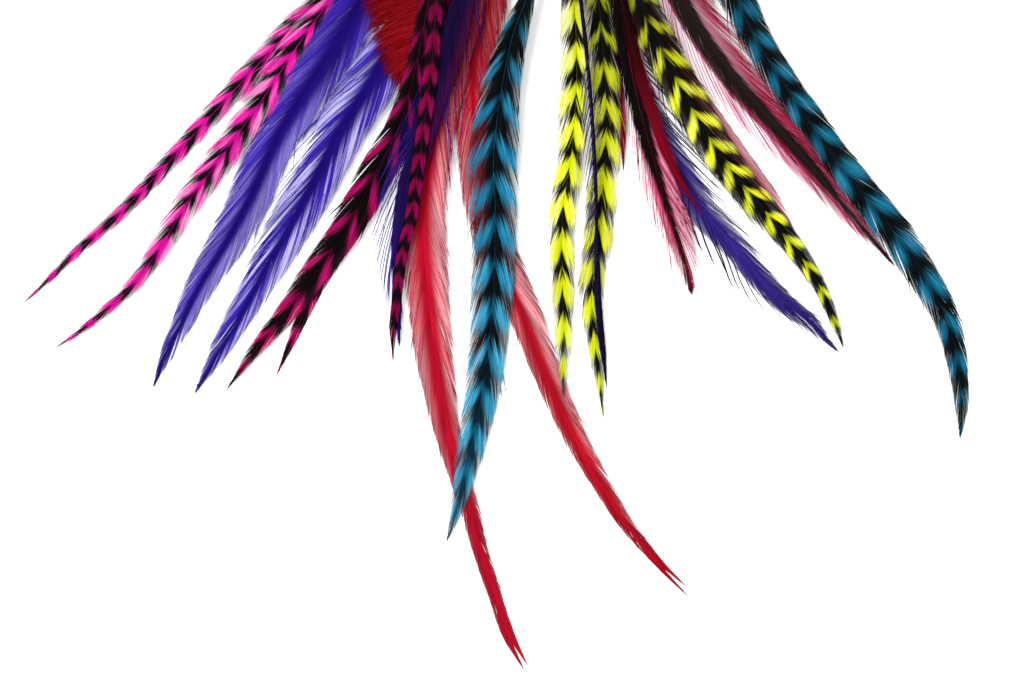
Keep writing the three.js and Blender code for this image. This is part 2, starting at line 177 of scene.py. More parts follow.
def smooth_step(value: np.ndarray, low: float | np.ndarray, high: float | np.ndarray) -> np.ndarray:
    """Rises smoothly from 0 at low to 1 at high."""
    t = np.clip((value - low) / (high - low), 0, 1)
    return t * t * (3 - 2 * t)


def along(value: Profile, s: np.ndarray) -> np.ndarray:
    """Evaluates a value that may change along a shaft.

    Args:
        value: one number, or rows of distance from the butt and number.
        s: distances along the shaft.

    Returns:
        The number at each distance.
    """
    if not isinstance(value, tuple):
        return np.full(np.shape(s), float(value))
    marks, numbers = zip(*value)
    return np.interp(s, marks, numbers)


def deselect_all() -> None:
    """Leaves nothing selected and no object in edit mode."""
    if bpy.context.object and bpy.context.object.mode != "OBJECT":
        bpy.ops.object.mode_set(mode="OBJECT")
    bpy.ops.object.select_all(action="DESELECT")


def join_pieces(pieces: list[bpy.types.Object]) -> bpy.types.Object:
    """Joins objects into the first of them.

    Args:
        pieces: the objects, the one that keeps its name first.

    Returns:
        The joined object.
    """
    deselect_all()
    for piece in pieces:
        piece.select_set(True)
    bpy.context.view_layer.objects.active = pieces[0]
    bpy.ops.object.join()
    return pieces[0]


@dataclass(frozen=True)
class BondSize:
    """The keratin bond's driving sizes, as in the solid that it stands for."""

    length: float = 18.0
    mouth_width: float = 20.0
    back_width: float = 15.0
    thickness: float = 6.2
    socket_depth: float = 8.0
    socket_spacing: float = 0.8
    lowest_row: float = 1.55
    row_spacing: float = 1.55
    butt_gap: float = 0.4
    straight_beyond: float = 2.0
    feathers: int = 22

    def place_x(self, place: int) -> float:
        """The X of the quill at that place, counted from the left."""
        return (place - (self.feathers - 1) / 2) * self.socket_spacing

    def row_z(self, row: int) -> float:
        """The height of a row of quills."""
        return self.lowest_row + row * self.row_spacing


BOND = BondSize()


@dataclass(frozen=True)
class Stack:
    """How high the feathers lie on each other, near the bond and where the fan is open."""

    layer_height: float = 0.8
    outer_height: float = 0.75
    rise_start: float = 11.0
    rise_end: float = 36.0
    fall_start: float = 68.0
    fall_end: float = 190.0


STACK = Stack()


@dataclass
class Shaft:
    """The line of one feather's shaft and the widths of its vanes.

    A route row is x, y and the vanes' width, or the left vane's and the right one's. Distances run from
    the quill's butt.
    """

    route: list[tuple[float, ...]]
    place: int
    row: int
    layer: float
    outer: float
    fork: tuple[tuple[float, float], ...] = ()
    butt_radius: float = 0.2
    mouth_radius: float = 0.37
    tip_radius: float = 0.07
    thin_marks: tuple[float, float] = (26.0, 70.0)
    thin_radii: tuple[float, float, float] = (0.28, 0.16, 0.05)
    bare_length: float = 10.0
    steps: int = 40

    def __post_init__(self) -> None:
        """Samples the smooth curve through the route."""
        mouth_y = -BOND.length / 2
        butt_y = mouth_y + BOND.socket_depth - BOND.butt_gap
        x = BOND.place_x(self.place)
        straight = [(x, y) for y in (butt_y, (butt_y + mouth_y) / 2, mouth_y, mouth_y - BOND.straight_beyond)]
        points = np.array(straight + [row[:2] for row in self.route], float)
        self.xy = self._smooth(points)
        legs = np.linalg.norm(np.diff(self.xy, axis=0), axis=1)
        self.s = np.concatenate([[0.0], np.cumsum(legs)])
        self.length = float(self.s[-1])
        tangent = np.gradient(self.xy, self.s, axis=0)
        tangent /= np.linalg.norm(tangent, axis=1)[:, None]
        self.left = np.stack([tangent[:, 1], -tangent[:, 0]], 1)
        stations = [self.s[(len(straight) + i) * self.steps] for i in range(len(self.route))]
        bare_end = BOND.socket_depth + self.bare_length
        self.station_s = np.array([bare_end] + stations)
        self.widths = {
            Side.LEFT: np.array([0.0] + [row[2] for row in self.route]),
            Side.RIGHT: np.array([0.0] + [row[-1] for row in self.route]),
        }

    def _smooth(self, points: np.ndarray) -> np.ndarray:
        """Returns a dense centripetal spline through the points."""
        padded = np.vstack([2 * points[0] - points[1], points, 2 * points[-1] - points[-2]])
        t = np.linspace(0, 1, self.steps, endpoint=False)[:, None]
        pieces = []
        for i in range(1, len(padded) - 2):
            a, b, c, d = padded[i - 1:i + 3]
            gaps = [np.linalg.norm(q - p) ** 0.5 for p, q in ((a, b), (b, c), (c, d))]
            out = ((b - a) / gaps[0] - (c - a) / (gaps[0] + gaps[1]) + (c - b) / gaps[1]) * gaps[1]
            into = ((c - b) / gaps[1] - (d - b) / (gaps[1] + gaps[2]) + (d - c) / gaps[2]) * gaps[1]
            cubic = 2 * b - 2 * c + out + into
            square = -3 * b + 3 * c - 2 * out - into
            pieces.append(cubic * t ** 3 + square * t ** 2 + out * t + b)
        return np.vstack(pieces + [points[-1:]])

    def point(self, s: np.ndarray, across: np.ndarray) -> np.ndarray:
        """Finds places beside the shaft.

        Args:
            s: distances along the shaft; past its end the last direction goes on.
            across: signed distances from it, positive to the left.

        Returns:
            The x and y of each place, in a last axis of two.
        """
        centre = [np.interp(s, self.s, self.xy[:, i]) for i in (0, 1)]
        left = self.leftward(s)
        beyond = np.maximum(s - self.length, 0)
        onward = (-self.left[-1, 1], self.left[-1, 0])
        return np.stack([centre[i] + left[i] * across + onward[i] * beyond for i in (0, 1)], -1)

    def leftward(self, s: np.ndarray) -> list[np.ndarray]:
        """The x and the y of the direction that points left of the shaft."""
        return [np.interp(s, self.s, self.left[:, i]) for i in (0, 1)]

    def half_width(self, side: Side, s: np.ndarray) -> np.ndarray:
        """The width of the vane on that side of the shaft."""
        return np.interp(s, self.station_s, self.widths[side])

    def radius(self, s: np.ndarray) -> np.ndarray:
        """The solid's shaft radius: it swells to the bond's mouth and tapers to the tip."""
        marks = [0, BOND.socket_depth, self.length]
        return np.interp(s, marks, [self.butt_radius, self.mouth_radius, self.tip_radius])

    def thin_radius(self, s: np.ndarray) -> np.ndarray:
        """The radius that shows between the vanes, where barbs hide most of the shaft."""
        marks = [0, BOND.socket_depth, *self.thin_marks, self.length]
        return np.interp(s, marks, [self.butt_radius, self.mouth_radius, *self.thin_radii])

    def vane_end(self, side: Side) -> tuple[float, float]:
        """Where the last barbs of a side end: along the shaft's line, and across it towards that side."""
        if not self.fork:
            return self.length, 0.0
        tip = np.array(self.fork[0 if side is Side.LEFT else 1]) - self.xy[-1]
        left = self.left[-1]
        return self.length + float(tip @ (-left[1], left[0])), side.value * float(tip @ left)

    def height(self, s: np.ndarray) -> np.ndarray:
        """The height of the shaft's centre line over the surface that the feathers lie on."""
        fall = smooth_step(s, STACK.fall_start, STACK.fall_end)
        stacked = self.layer * STACK.layer_height
        lift = stacked + (self.outer * STACK.outer_height - stacked) * fall
        rise = smooth_step(s, STACK.rise_start, STACK.rise_end)
        in_bond = BOND.row_z(self.row)
        return in_bond + (lift + self.radius(s) - in_bond) * rise

    def nearest(self, xy: np.ndarray) -> np.ndarray:
        """The distance along the shaft that is nearest to each place."""
        gaps = ((xy[:, None, :] - self.xy[None, :, :]) ** 2).sum(-1)
        return self.s[gaps.argmin(1)]


@dataclass(frozen=True)
class Coat:
    """How the barbs of a vane grow and hang together.

    Attributes:
        pitch: distance between barb roots.
        sweep: how far a barb runs along the shaft for each millimetre that it reaches out.
        least_run: the run that the shortest barbs have.
        bow: how strongly a barb curves towards the tip.
        web: share of a barb that is hooked to its neighbours.
        cover, edge_cover: barb width by the room between barbs, in the web and at the barb's end.
        least_width: the width of the finest barb ends.
        tuft: fewest and most barbs whose ends cling together.
        gather: how closely those ends draw together, from 0 to 1.
        lock: shortest and longest stretch of vane between two splits.
        part: how far a vane opens at a split, as a share of the stretch.
        splay: how unlike those stretches are in reach and angle.
        fuzz: how unlike single barbs are in length.
        stray: share of barbs that stand out on their own.
        frizz: size of the waves in a barb.
        ruffle: how far stretches lift off the vane's plane.
        share: how much of the vane's width the barbs reach, which may change along the shaft.
    """

    pitch: float = 0.34
    sweep: float = 3.0
    least_run: float = 4.5
    bow: float = 1.3
    web: float = 0.7
    cover: float = 3.4
    edge_cover: float = 1.8
    least_width: float = 0.1
    tuft: tuple[int, int] = (2, 6)
    gather: float = 0.2
    lock: tuple[float, float] = (6.0, 20.0)
    part: float = 0.07
    splay: float = 0.03
    fuzz: float = 0.04
    stray: float = 0.008
    frizz: float = 0.006
    ruffle: float = 0.04
    share: Profile = 1.0


@dataclass(frozen=True)
class Fringe:
    """Single barbs that stand clear of each other, like the teeth of a comb, beyond the closed web.

    Attributes:
        side: the side of the shaft that they grow on.
        coat: how they grow.
        dye: their colour.
        start, end: the stretch of shaft that they grow on.
    """

    side: Side
    coat: Coat
    dye: "HackleDye"
    start: float = 0.0
    end: float = WHOLE


@dataclass(frozen=True)
class Bars:
    """The dark bars of a grizzly feather.

    Attributes:
        marks: where the bars' middles cross the shaft, from the butt; more follow at the same spacing.
        slope: how far a bar falls back towards the tip for each millimetre out from the shaft.
        peak: how much further it reaches up at the shaft itself.
        share: share of the spacing that is dark.
        ink: how dark the bars are, from 0 to 1.
        lean: how much further along the shaft the right side's bars lie.
        soft: how soft a bar's edges are.
        ragged: how unevenly barbs carry a bar, as a share of the spacing.
        join: how strongly dark runs on along the shaft between bars.
        join_half: half the width of that dark line.
        rim: how much of the dark fades at the barbs' ends.
        thin: how much finer barbs are where they are dark.
    """

    marks: tuple[float, ...]
    slope: float = 1.2
    peak: float = 1.5
    share: Profile = 0.5
    ink: Profile = 1.0
    lean: float = 0.0
    soft: float = 0.6
    ragged: float = 0.1
    join: float = 0.5
    join_half: float = 1.5
    rim: float = 0.0
    thin: float = 0.0

    ADDED_BEFORE = 12  # bars that go on before the first mark
    ADDED_AFTER = 5  # and after the last

    def phase(self, s: np.ndarray, across: np.ndarray) -> np.ndarray:
        """Counts bars: a whole number in the middle of each bar."""
        marks = np.array(self.marks)
        gap = float(np.diff(marks).mean())
        before = marks[0] - gap * np.arange(self.ADDED_BEFORE, 0, -1)
        after = marks[-1] + gap * np.arange(1, self.ADDED_AFTER + 1)
        every = np.concatenate([before, marks, after])
        out = np.abs(across)
        drop = self.slope * out + self.peak * (1 - np.exp(-out / PEAK_HALF)) + self.lean * (across < 0)
        return np.interp(s - drop, every, np.arange(len(every)))

    def level(self, s: np.ndarray) -> np.ndarray:
        """How high the bars' wave must be for a barb to be dark there."""
        return np.cos(math.pi * along(self.share, s))

    def darkness(self, s: np.ndarray, across: np.ndarray) -> np.ndarray:
        """How dark a barb is there, from 0 to 1."""
        wave = np.cos(2 * math.pi * self.phase(s, across)) - self.level(s)
        return along(self.ink, s) * smooth_step(wave, -self.soft, self.soft)


@dataclass(frozen=True)
class Stripe:
    """The dark centre stripe of a badger feather.

    Attributes:
        half: half its width.
        offset: how far its middle lies to the left of the shaft.
        soft: how soft its border is.
        ragged: how unevenly barbs carry it.
    """

    half: Profile
    offset: Profile = 0.0
    soft: float = 0.6
    ragged: float = 0.5


@dataclass(frozen=True)
class Tuft:
    """Loose barbs without hooks on a stretch of one side of a feather.

    Attributes:
        side: the side of the shaft that they grow on.
        start, end: the stretch of shaft that they grow on.
        run: how far they trail along the shaft.
        count: the number of barbs.
        reach: how far they stand out, or 0 to fill the solid's width there.
        least: the shortest reach, as a share of the longest.
        width: the thickest part of a barb.
        wave: size of the waves, as a share of the reach.
        rise: how high the tuft stands off the vane.
        dye: their colour.
    """

    side: Side
    start: float
    end: float
    run: float
    count: int
    dye: "HackleDye"
    reach: float = 0.0
    least: float = 0.5
    width: float = 0.3
    wave: float = 0.03
    rise: float = 0.5


class Barbs:
    """Barbs as closed three-sided tapers, gathered in arrays and joined into one mesh."""

    CORNERS = 3
    RIDGE = 0.2  # height of a barb's ridge by its width
    LEAST_RIDGE = 0.02

    def __init__(self, feather: "Hackle", dye: "HackleDye") -> None:
        """Starts an empty set of barbs.

        Args:
            feather: the feather that they grow on, with its shaft, span, bars and stripe.
            dye: their colour, whose changes along the shaft every point carries.
        """
        self.shaft = feather.shaft
        self.half_span = feather.half_span
        self.bars = feather.bars
        self.stripe = feather.stripe
        self.dye = dye
        self.verts: list[np.ndarray] = []
        self.tris: list[np.ndarray] = []
        self.maps: list[np.ndarray] = []
        self.values: dict[str, list[np.ndarray]] = {}
        self.total = 0

    def grow(self, s: np.ndarray, across: np.ndarray, lift: np.ndarray, width: np.ndarray,
             tone: np.ndarray, strand: np.ndarray) -> None:
        """Adds barbs along given centre lines.

        Args:
            s: distances along the shaft, one row for a barb and one column for a station on it.
            across: signed distances from the shaft, likewise.
            lift: heights over the surface, likewise.
            width: the barb's width at each station but the last, which is its point.
            tone: one number from -1 to 1 for each barb's shade.
            strand: one number from -1 to 1 for the tuft that each barb clings to.
        """
        count, stations = s.shape
        plan = self.shaft.point(s, across)
        centre = np.concatenate([plan, lift[..., None]], -1)
        ahead = np.gradient(centre, axis=1)
        ahead /= np.linalg.norm(ahead, axis=2)[..., None] + 1e-9
        side = np.cross(ahead, np.array([0.0, 0.0, 1.0]))
        side /= np.linalg.norm(side, axis=2)[..., None] + 1e-9
        up = np.cross(side, ahead)
        body = centre[:, :-1]
        half = side[:, :-1] * width[..., None] / 2
        ridge = up[:, :-1] * (self.RIDGE * width[..., None] + self.LEAST_RIDGE)
        rings = np.stack([body - half, body + half, body + ridge], 2)
        verts = np.concatenate([rings.reshape(count, -1, 3), centre[:, -1:]], 1)
        per_barb = verts.shape[1]
        template = self._template(stations - 1)
        offsets = self.total + per_barb * np.arange(count)
        self.tris.append((template[None] + offsets[:, None, None]).reshape(-1, 3))
        self.verts.append(verts.reshape(-1, 3))
        reach = np.tile(np.linspace(0, 1, stations), (count, 1))
        self._carry(self._at_corners(s), self._at_corners(across), {
            "tone": np.repeat(tone, per_barb),
            "strand": np.repeat(strand, per_barb),
            "reach": self._at_corners(reach),
        })
        self.total += per_barb * count

    def _carry(self, s: np.ndarray, across: np.ndarray, values: dict[str, np.ndarray]) -> None:
        """Gives new points their place on the bake map and the values that their material reads.

        Args:
            s: the points' distances along the shaft.
            across: their signed distances from it.
            values: values that don't follow from the place, by name.
        """
        place = np.stack([s / self.shaft.length, 0.5 + across / (2 * self.half_span)], -1)
        self.maps.append(place.clip(MAP_MARGIN, 1 - MAP_MARGIN))
        dye = self.dye
        values |= {
            "out": np.abs(across),
            "core": np.abs(across) / along(dye.core_half, s),
            "pale": np.where(across > 0, along(dye.left_pale, s), along(dye.right_pale, s)),
            # shade is painted shade: darker towards the bond, where the stacked feathers shade each other.
            "shade": along(dye.shade, s),
        }
        if dye.blush:
            tint = np.where(across > 0, along(dye.left_blush, s), along(dye.right_blush, s))
            values["blush"] = tint * smooth_step(np.abs(across), dye.blush_from, dye.blush_from + BLUSH_RAMP)
        if self.bars:
            values |= {
                "bar": self.bars.phase(s, across),
                "level": self.bars.level(s),
                "ink": along(self.bars.ink, s),
            }
        if self.stripe:
            offset = along(self.stripe.offset, s)
            values["stripe"] = along(self.stripe.half, s) - np.abs(across - offset)
        for label, numbers in values.items():
            self.values.setdefault(label, []).append(numbers)

    def _at_corners(self, values: np.ndarray) -> np.ndarray:
        """Repeats each station's value for its ring's corners."""
        rings = np.repeat(values[:, :-1], self.CORNERS, 1)
        return np.concatenate([rings, values[:, -1:]], 1).ravel()

    @classmethod
    def _template(cls, rings: int) -> np.ndarray:
        """The triangles of one barb with that many rings before its point."""
        faces = [(0, 1, 2)]
        sides = ((0, 1), (1, 2), (2, 0))
        for ring in range(0, cls.CORNERS * (rings - 1), cls.CORNERS):
            for one, other in ((ring + i, ring + j) for i, j in sides):
                faces += [(one, one + cls.CORNERS, other + cls.CORNERS), (one, other + cls.CORNERS, other)]
        last = cls.CORNERS * (rings - 1)
        faces += [(last + i, last + cls.CORNERS, last + j) for i, j in sides]
        return np.array(faces)

    def object(self, name: str) -> bpy.types.Object:
        """Makes one mesh object of all the barbs.

        Args:
            name: the object's name.

        Returns:
            The object, with its bake map and its values at every point.
        """
        verts = np.concatenate(self.verts) * MM
        corners = np.concatenate(self.tris).astype(np.int32).ravel()
        mesh = bpy.data.meshes.new(name)
        mesh.vertices.add(len(verts))
        mesh.vertices.foreach_set("co", verts.astype(np.float32).ravel())
        mesh.loops.add(len(corners))
        mesh.loops.foreach_set("vertex_index", corners)
        mesh.polygons.add(len(corners) // 3)
        mesh.polygons.foreach_set("loop_start", np.arange(0, len(corners), 3, dtype=np.int32))
        mesh.update(calc_edges=True)
        layer = mesh.uv_layers.new(name=BAKE_MAP)
        layer.uv.foreach_set("vector", np.concatenate(self.maps)[corners].astype(np.float32).ravel())
        for label, parts in self.values.items():
            attribute = mesh.attributes.new(label, "FLOAT", "POINT")
            attribute.data.foreach_set("value", np.concatenate(parts).astype(np.float32))
        piece = bpy.data.objects.new(name, mesh)
        bpy.context.scene.collection.objects.link(piece)
        return piece


@dataclass(frozen=True)
class HackleDye:
    """Dyed hackle barbs: keratin strands with a soft satin gloss that let some light through.

    The eye gets saturated colour at the web, paler and thinner colour at the edges, and black bars or
    a dark stripe where the feather's own pigment shows through the dye.

    Attributes:
        name: the dye's name.
        core, vane, pale: colours at the shaft, on the vane and where the vane is thinnest.
        dark, dark_ends_and_glints: the feather's own pigment, and the single strands in it that shine paler,
            partly greyer barb ends and partly painted glints.
        blush: what the dark pigment is tinted with, if anything.
        left_blush, right_blush: how much of that tint the side has, from 0 to 1.
        blush_from: how far from the shaft the tint begins.
        horn: the shaft's colour, or empty for the core's.
        core_half: half the width of the deep band along the shaft.
        left_pale, right_pale: how pale the vane is on that side, from 0 to 1.
        shade: how bright the colour is, from 0 to 1: painted shade, darker where the fan is still thick and
            the stacked feathers shade each other.
        end_pale: how much paler the barbs' ends are.
        end_from: the share of a barb from which its end changes.
        streak: how much paleness varies from strand to strand.
        grain: how much the brightness varies from barb to barb.
        roughness, sheen: the surface's roughness, and how strongly it reflects.
        glow: share of light that goes through.
    """

    name: str
    core: str
    vane: str
    pale: str
    dark: str = "#0c060a"
    dark_ends_and_glints: str = "#241c20"
    blush: str = ""
    left_blush: Profile = 0.0
    right_blush: Profile = 0.0
    blush_from: float = 1.0
    horn: str = ""
    core_half: Profile = 1.2
    left_pale: Profile = 0.0
    right_pale: Profile = 0.0
    shade: Profile = 1.0
    end_pale: float = 0.3
    end_from: float = 0.6
    streak: float = 0.15
    grain: float = 0.2
    roughness: float = 0.5
    sheen: float = 0.04
    glow: float = 0.35

    CORE_RAMP = (0.35, 1.65)  # distances from the shaft between core and vane, by core_half
    # The pale strands in the dark are partly greyer barb ends and partly painted glints.
    GLINT_REACH = (0.3, 0.8)  # the share of a barb over which the pale strands in the dark set in
    GLINT_STRANDS = (-0.1, 0.35)  # the strands that are among them, from none to fully
    RIM_FROM = 0.7  # the share of a barb from which the dark fades

    def material(self, feather: "Hackle", marked: bool = True) -> bpy.types.Material:
        """Makes the barbs' material for one feather.

        Args:
            feather: the feather, with its bars and stripe.
            marked: whether the barbs carry them.

        Returns:
            The material.
        """
        shader = Shader(f"{self.name}_{feather.node}")
        colour = self._dyed(shader)
        if feather.bars and marked:
            colour = shader.mix(self._bar_mask(shader, feather.bars), colour, self._pigment(shader))
        if feather.stripe and marked:
            colour = shader.mix(self._stripe_mask(shader, feather.stripe), colour, self._pigment(shader))
        satin = {"IOR": KERATIN_IOR, "Specular IOR Level": self.sheen}
        return shader.close(colour, self.roughness, satin, self.glow)

    def _dyed(self, shader: Shader) -> bpy.types.NodeSocket:
        """The dye's colour: deep at the shaft, lighter outwards, streaked by strand, with painted shade near
        the bond.
        """
        outward = shader.ramp(shader.read("core"), *self.CORE_RAMP)
        colour = shader.mix(outward, linear(self.core), linear(self.vane))
        ends = shader.ramp(shader.read("reach"), self.end_from, 1.0, 0.0, self.end_pale)
        paleness = shader.math("MULTIPLY_ADD", shader.read("strand"), self.streak, shader.read("pale"))
        paleness = shader.math("MAXIMUM", shader.math("MULTIPLY", paleness, outward), 0.0)
        paleness = shader.math("ADD", paleness, ends, use_clamp=True)
        colour = shader.mix(paleness, colour, linear(self.pale))
        value = shader.math("MULTIPLY_ADD", shader.read("tone"), self.grain, 1.0)
        # The painted shade darkens the colour towards the bond, where the stacked feathers shade each other.
        return shader.brighten(shader.math("MULTIPLY", value, shader.read("shade")), colour)

    def _pigment(self, shader: Shader) -> bpy.types.NodeSocket:
        """The feather's own dark pigment, with paler single strands towards the vane's edge, partly greyer
        barb ends and partly painted glints.
        """
        outward = shader.ramp(shader.read("reach"), *self.GLINT_REACH)
        bright = shader.ramp(shader.read("strand"), *self.GLINT_STRANDS)
        amount = shader.math("MULTIPLY", outward, bright)
        pigment = shader.mix(amount, linear(self.dark), linear(self.dark_ends_and_glints))
        if self.blush:
            pigment = shader.mix(shader.read("blush"), pigment, linear(self.blush))
        return pigment

    def _bar_mask(self, shader: Shader, bars: Bars) -> bpy.types.NodeSocket:
        """Where the grizzly bars are: chevrons that strands carry a little unevenly."""
        ragged = shader.math("MULTIPLY_ADD", shader.read("strand"), bars.ragged, shader.read("bar"))
        wave = shader.math("COSINE", shader.math("MULTIPLY", ragged, 2 * math.pi))
        near = shader.ramp(shader.read("out"), 0.0, bars.join_half, bars.join, 0.0)
        edge = shader.ramp(shader.read("reach"), self.RIM_FROM, 1.0, 0.0, -bars.rim)
        wave = shader.math("ADD", shader.math("ADD", wave, near), edge)
        above = shader.math("SUBTRACT", wave, shader.read("level"))
        return shader.math("MULTIPLY", shader.ramp(above, -bars.soft, bars.soft), shader.read("ink"))

    @staticmethod
    def _stripe_mask(shader: Shader, stripe: Stripe) -> bpy.types.NodeSocket:
        """Where the badger stripe is: a dark middle with a ragged border."""
        inside = shader.math("MULTIPLY_ADD", shader.read("strand"), stripe.ragged, shader.read("stripe"))
        return shader.ramp(inside, -stripe.soft, stripe.soft)


@dataclass(frozen=True)
class RachisHorn:
    """Feather shaft: smooth horn that took the dye, with faint lengthwise streaks and a low gloss."""

    colour: str
    streak_pitch: float = 3.0
    darkest: float = 0.7
    contrast: float = 0.5
    roughness: float = 0.5
    sheen: float = 0.1

    def material(self, name: str) -> bpy.types.Material:
        """Makes the shaft's material."""
        shader = Shader(f"rachis_horn_{name}")
        streaks = shader.clouds(self.streak_pitch, detail=2.0)
        value = shader.math("MULTIPLY_ADD", streaks, self.contrast, self.darkest)
        colour = shader.brighten(value, linear(self.colour))
        return shader.close(colour, self.roughness, {"IOR": KERATIN_IOR, "Specular IOR Level": self.sheen})


@dataclass
class Hackle:
    """One feather: its shaft, its two vanes and any loose tufts, dressed in its dye.

    The constants are the ranges that barbs differ in; a pair is the least and the most.
    """

    ROOT_SHIFT = 0.2  # of a root off its even place, by the pitch
    PULL_FROM = 0.3  # the share of a barb from which its tuft gathers
    TUFT_PULL = (0.5, 1.1)  # how closely a tuft gathers, by the coat's gather
    LOCK_PULL = (0.2, 1.6)  # how far a lock parts, by the coat's part
    STRAY_REACH = (1.1, 1.5)  # of barbs that stand out, by the reach of others
    END_GAP = 0.6  # mean gap between the last barbs' ends and the tip
    MOST_END_GAP = 4.0  # by the mean
    PRONG_RUN = (0.8, 1.0)  # of a prong's barbs, by the way to the prong's point
    PRONG_PLACE = (0.05, 1.0)  # of a barb across its prong
    PRONG_JOIN = 0.4  # share of a prong's barb that leads from the shaft to its place
    WAVES = (3.0, 8.0)  # of a barb, in radians along it
    WAVE_START = (0.0, 6.0)  # where in its wave a barb starts, in radians
    LIFT_NOISE = 0.03  # of a barb's end
    THINNING = (0.3, 0.9)  # the share of a barb over which its dark stretches get finer
    TONE_DRIFT = 0.5  # of the tone along the vane
    TONE_NOISE = 0.25  # of the tone from barb to barb
    STRAND_NOISE = 0.2  # of the strand within a tuft
    LOOSE_RUN = (0.6, 1.15)  # of a tuft's barbs, by the tuft's run
    LOOSE_REACH = 1.02  # the most, by the tuft's reach
    LOOSE_RISE = (-0.3, 1.0)  # by the tuft's rise
    LOOSE_WAVES = (4.0, 10.0)  # of a tuft's barbs, in radians
    LOOSE_TONE = 0.45  # of the tone in a tuft

    node: str
    slot: str
    row: int
    layer: float
    dye: HackleDye
    route: list[tuple[float, ...]]
    outer: float = 0.0
    coat: Coat = Coat()
    right_coat: Coat | None = None
    bars: Bars | None = None
    stripe: Stripe | None = None
    fringes: tuple[Fringe, ...] = ()
    tufts: tuple[Tuft, ...] = ()
    fork: tuple[tuple[float, float], ...] = ()
    widest: float = 12.0
    place: int = field(init=False, default=0)

    def settle(self, place: int) -> None:
        """Takes the feather's place in the bond and works out its shaft."""
        self.place = place
        self.shaft = Shaft(self.route, place, self.row, self.layer, self.outer, self.fork)
        self.coats = {Side.LEFT: self.coat, Side.RIGHT: self.right_coat or self.coat}
        widths = np.concatenate(list(self.shaft.widths.values()))
        self.half_span = SPAN_MARGIN * max([float(widths.max())] + [tuft.reach for tuft in self.tufts])
        self.rng = np.random.default_rng(SEED + place)

    def build(self) -> bpy.types.Object:
        """Builds and dresses the feather, hides the solid that it stands for and attaches it to the root
        body.

        Returns:
            The finished piece.
        """
        barbs = Barbs(self, self.dye)
        for side in Side:
            self._vane(barbs, side, self.coats[side])
        piece = barbs.object(f"{self.node}_plume")
        piece.data.materials.append(self.dye.material(self))
        rachis = self._rachis()
        horn = RachisHorn(self.dye.horn or self.dye.core)
        rachis.data.materials.append(horn.material(self.node))
        parts = [piece, rachis]
        for i, extra in enumerate(self.fringes + self.tufts):
            loose = Barbs(self, extra.dye)
            if isinstance(extra, Fringe):
                self._vane(loose, extra.side, extra.coat, extra.start, extra.end)
            else:
                self._tuft(loose, extra)
            parts.append(loose.object(f"{self.node}_loose_{i}"))
            parts[-1].data.materials.append(extra.dye.material(self, marked=isinstance(extra, Fringe)))
        join_pieces(parts)
        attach(piece, ROOT_BODY)
        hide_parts(self.node)
        LOG.info("%s: %d faces", piece.name, len(piece.data.polygons))
        return piece

    def _rachis(self) -> bpy.types.Object:
        """The shaft as a tapered tube with closed ends."""
        bpy.ops.curve.primitive_nurbs_path_add()
        tube = bpy.context.object
        tube.name = f"{self.node}_rachis"
        line = tube.data
        line.splines.clear()
        s = np.linspace(0, self.shaft.length, int(self.shaft.length / RACHIS_STEP))
        places = np.concatenate([self.shaft.point(s, 0 * s), self.shaft.height(s)[:, None]], 1) * MM
        spline = line.splines.new("POLY")
        spline.points.add(len(s) - 1)
        spline.points.foreach_set("co", np.concatenate([places, np.ones((len(s), 1))], 1).ravel())
        spline.points.foreach_set("radius", self.shaft.thin_radius(s))
        line.dimensions = "3D"
        line.bevel_depth = MM
        line.bevel_resolution = 1
        line.use_fill_caps = True
        bpy.ops.object.convert(target="MESH")
        tube = bpy.context.object
        self._map_rachis(tube.data)
        bpy.ops.object.shade_smooth()
        return tube

    def _map_rachis(self, mesh: bpy.types.Mesh) -> None:
        """Gives the shaft's mesh its place on the bake map, along the map's middle line."""
        co = np.zeros(len(mesh.vertices) * 3, np.float32)
        mesh.vertices.foreach_get("co", co)
        co = co.reshape(-1, 3) / MM
        s = self.shaft.nearest(co[:, :2])
        gap = co[:, :2] - self.shaft.point(s, 0 * s)
        across = (gap * np.stack(self.shaft.leftward(s), 1)).sum(1)
        corners = np.zeros(len(mesh.loops), np.int32)
        mesh.loops.foreach_get("vertex_index", corners)
        for old in list(mesh.uv_layers):
            mesh.uv_layers.remove(old)
        layer = mesh.uv_layers.new(name=BAKE_MAP)
        uv = np.stack([s / self.shaft.length, 0.5 + across / (2 * self.half_span)], 1)
        uv = uv.clip(MAP_MARGIN, 1 - MAP_MARGIN)
        layer.uv.foreach_set("vector", uv[corners].astype(np.float32).ravel())

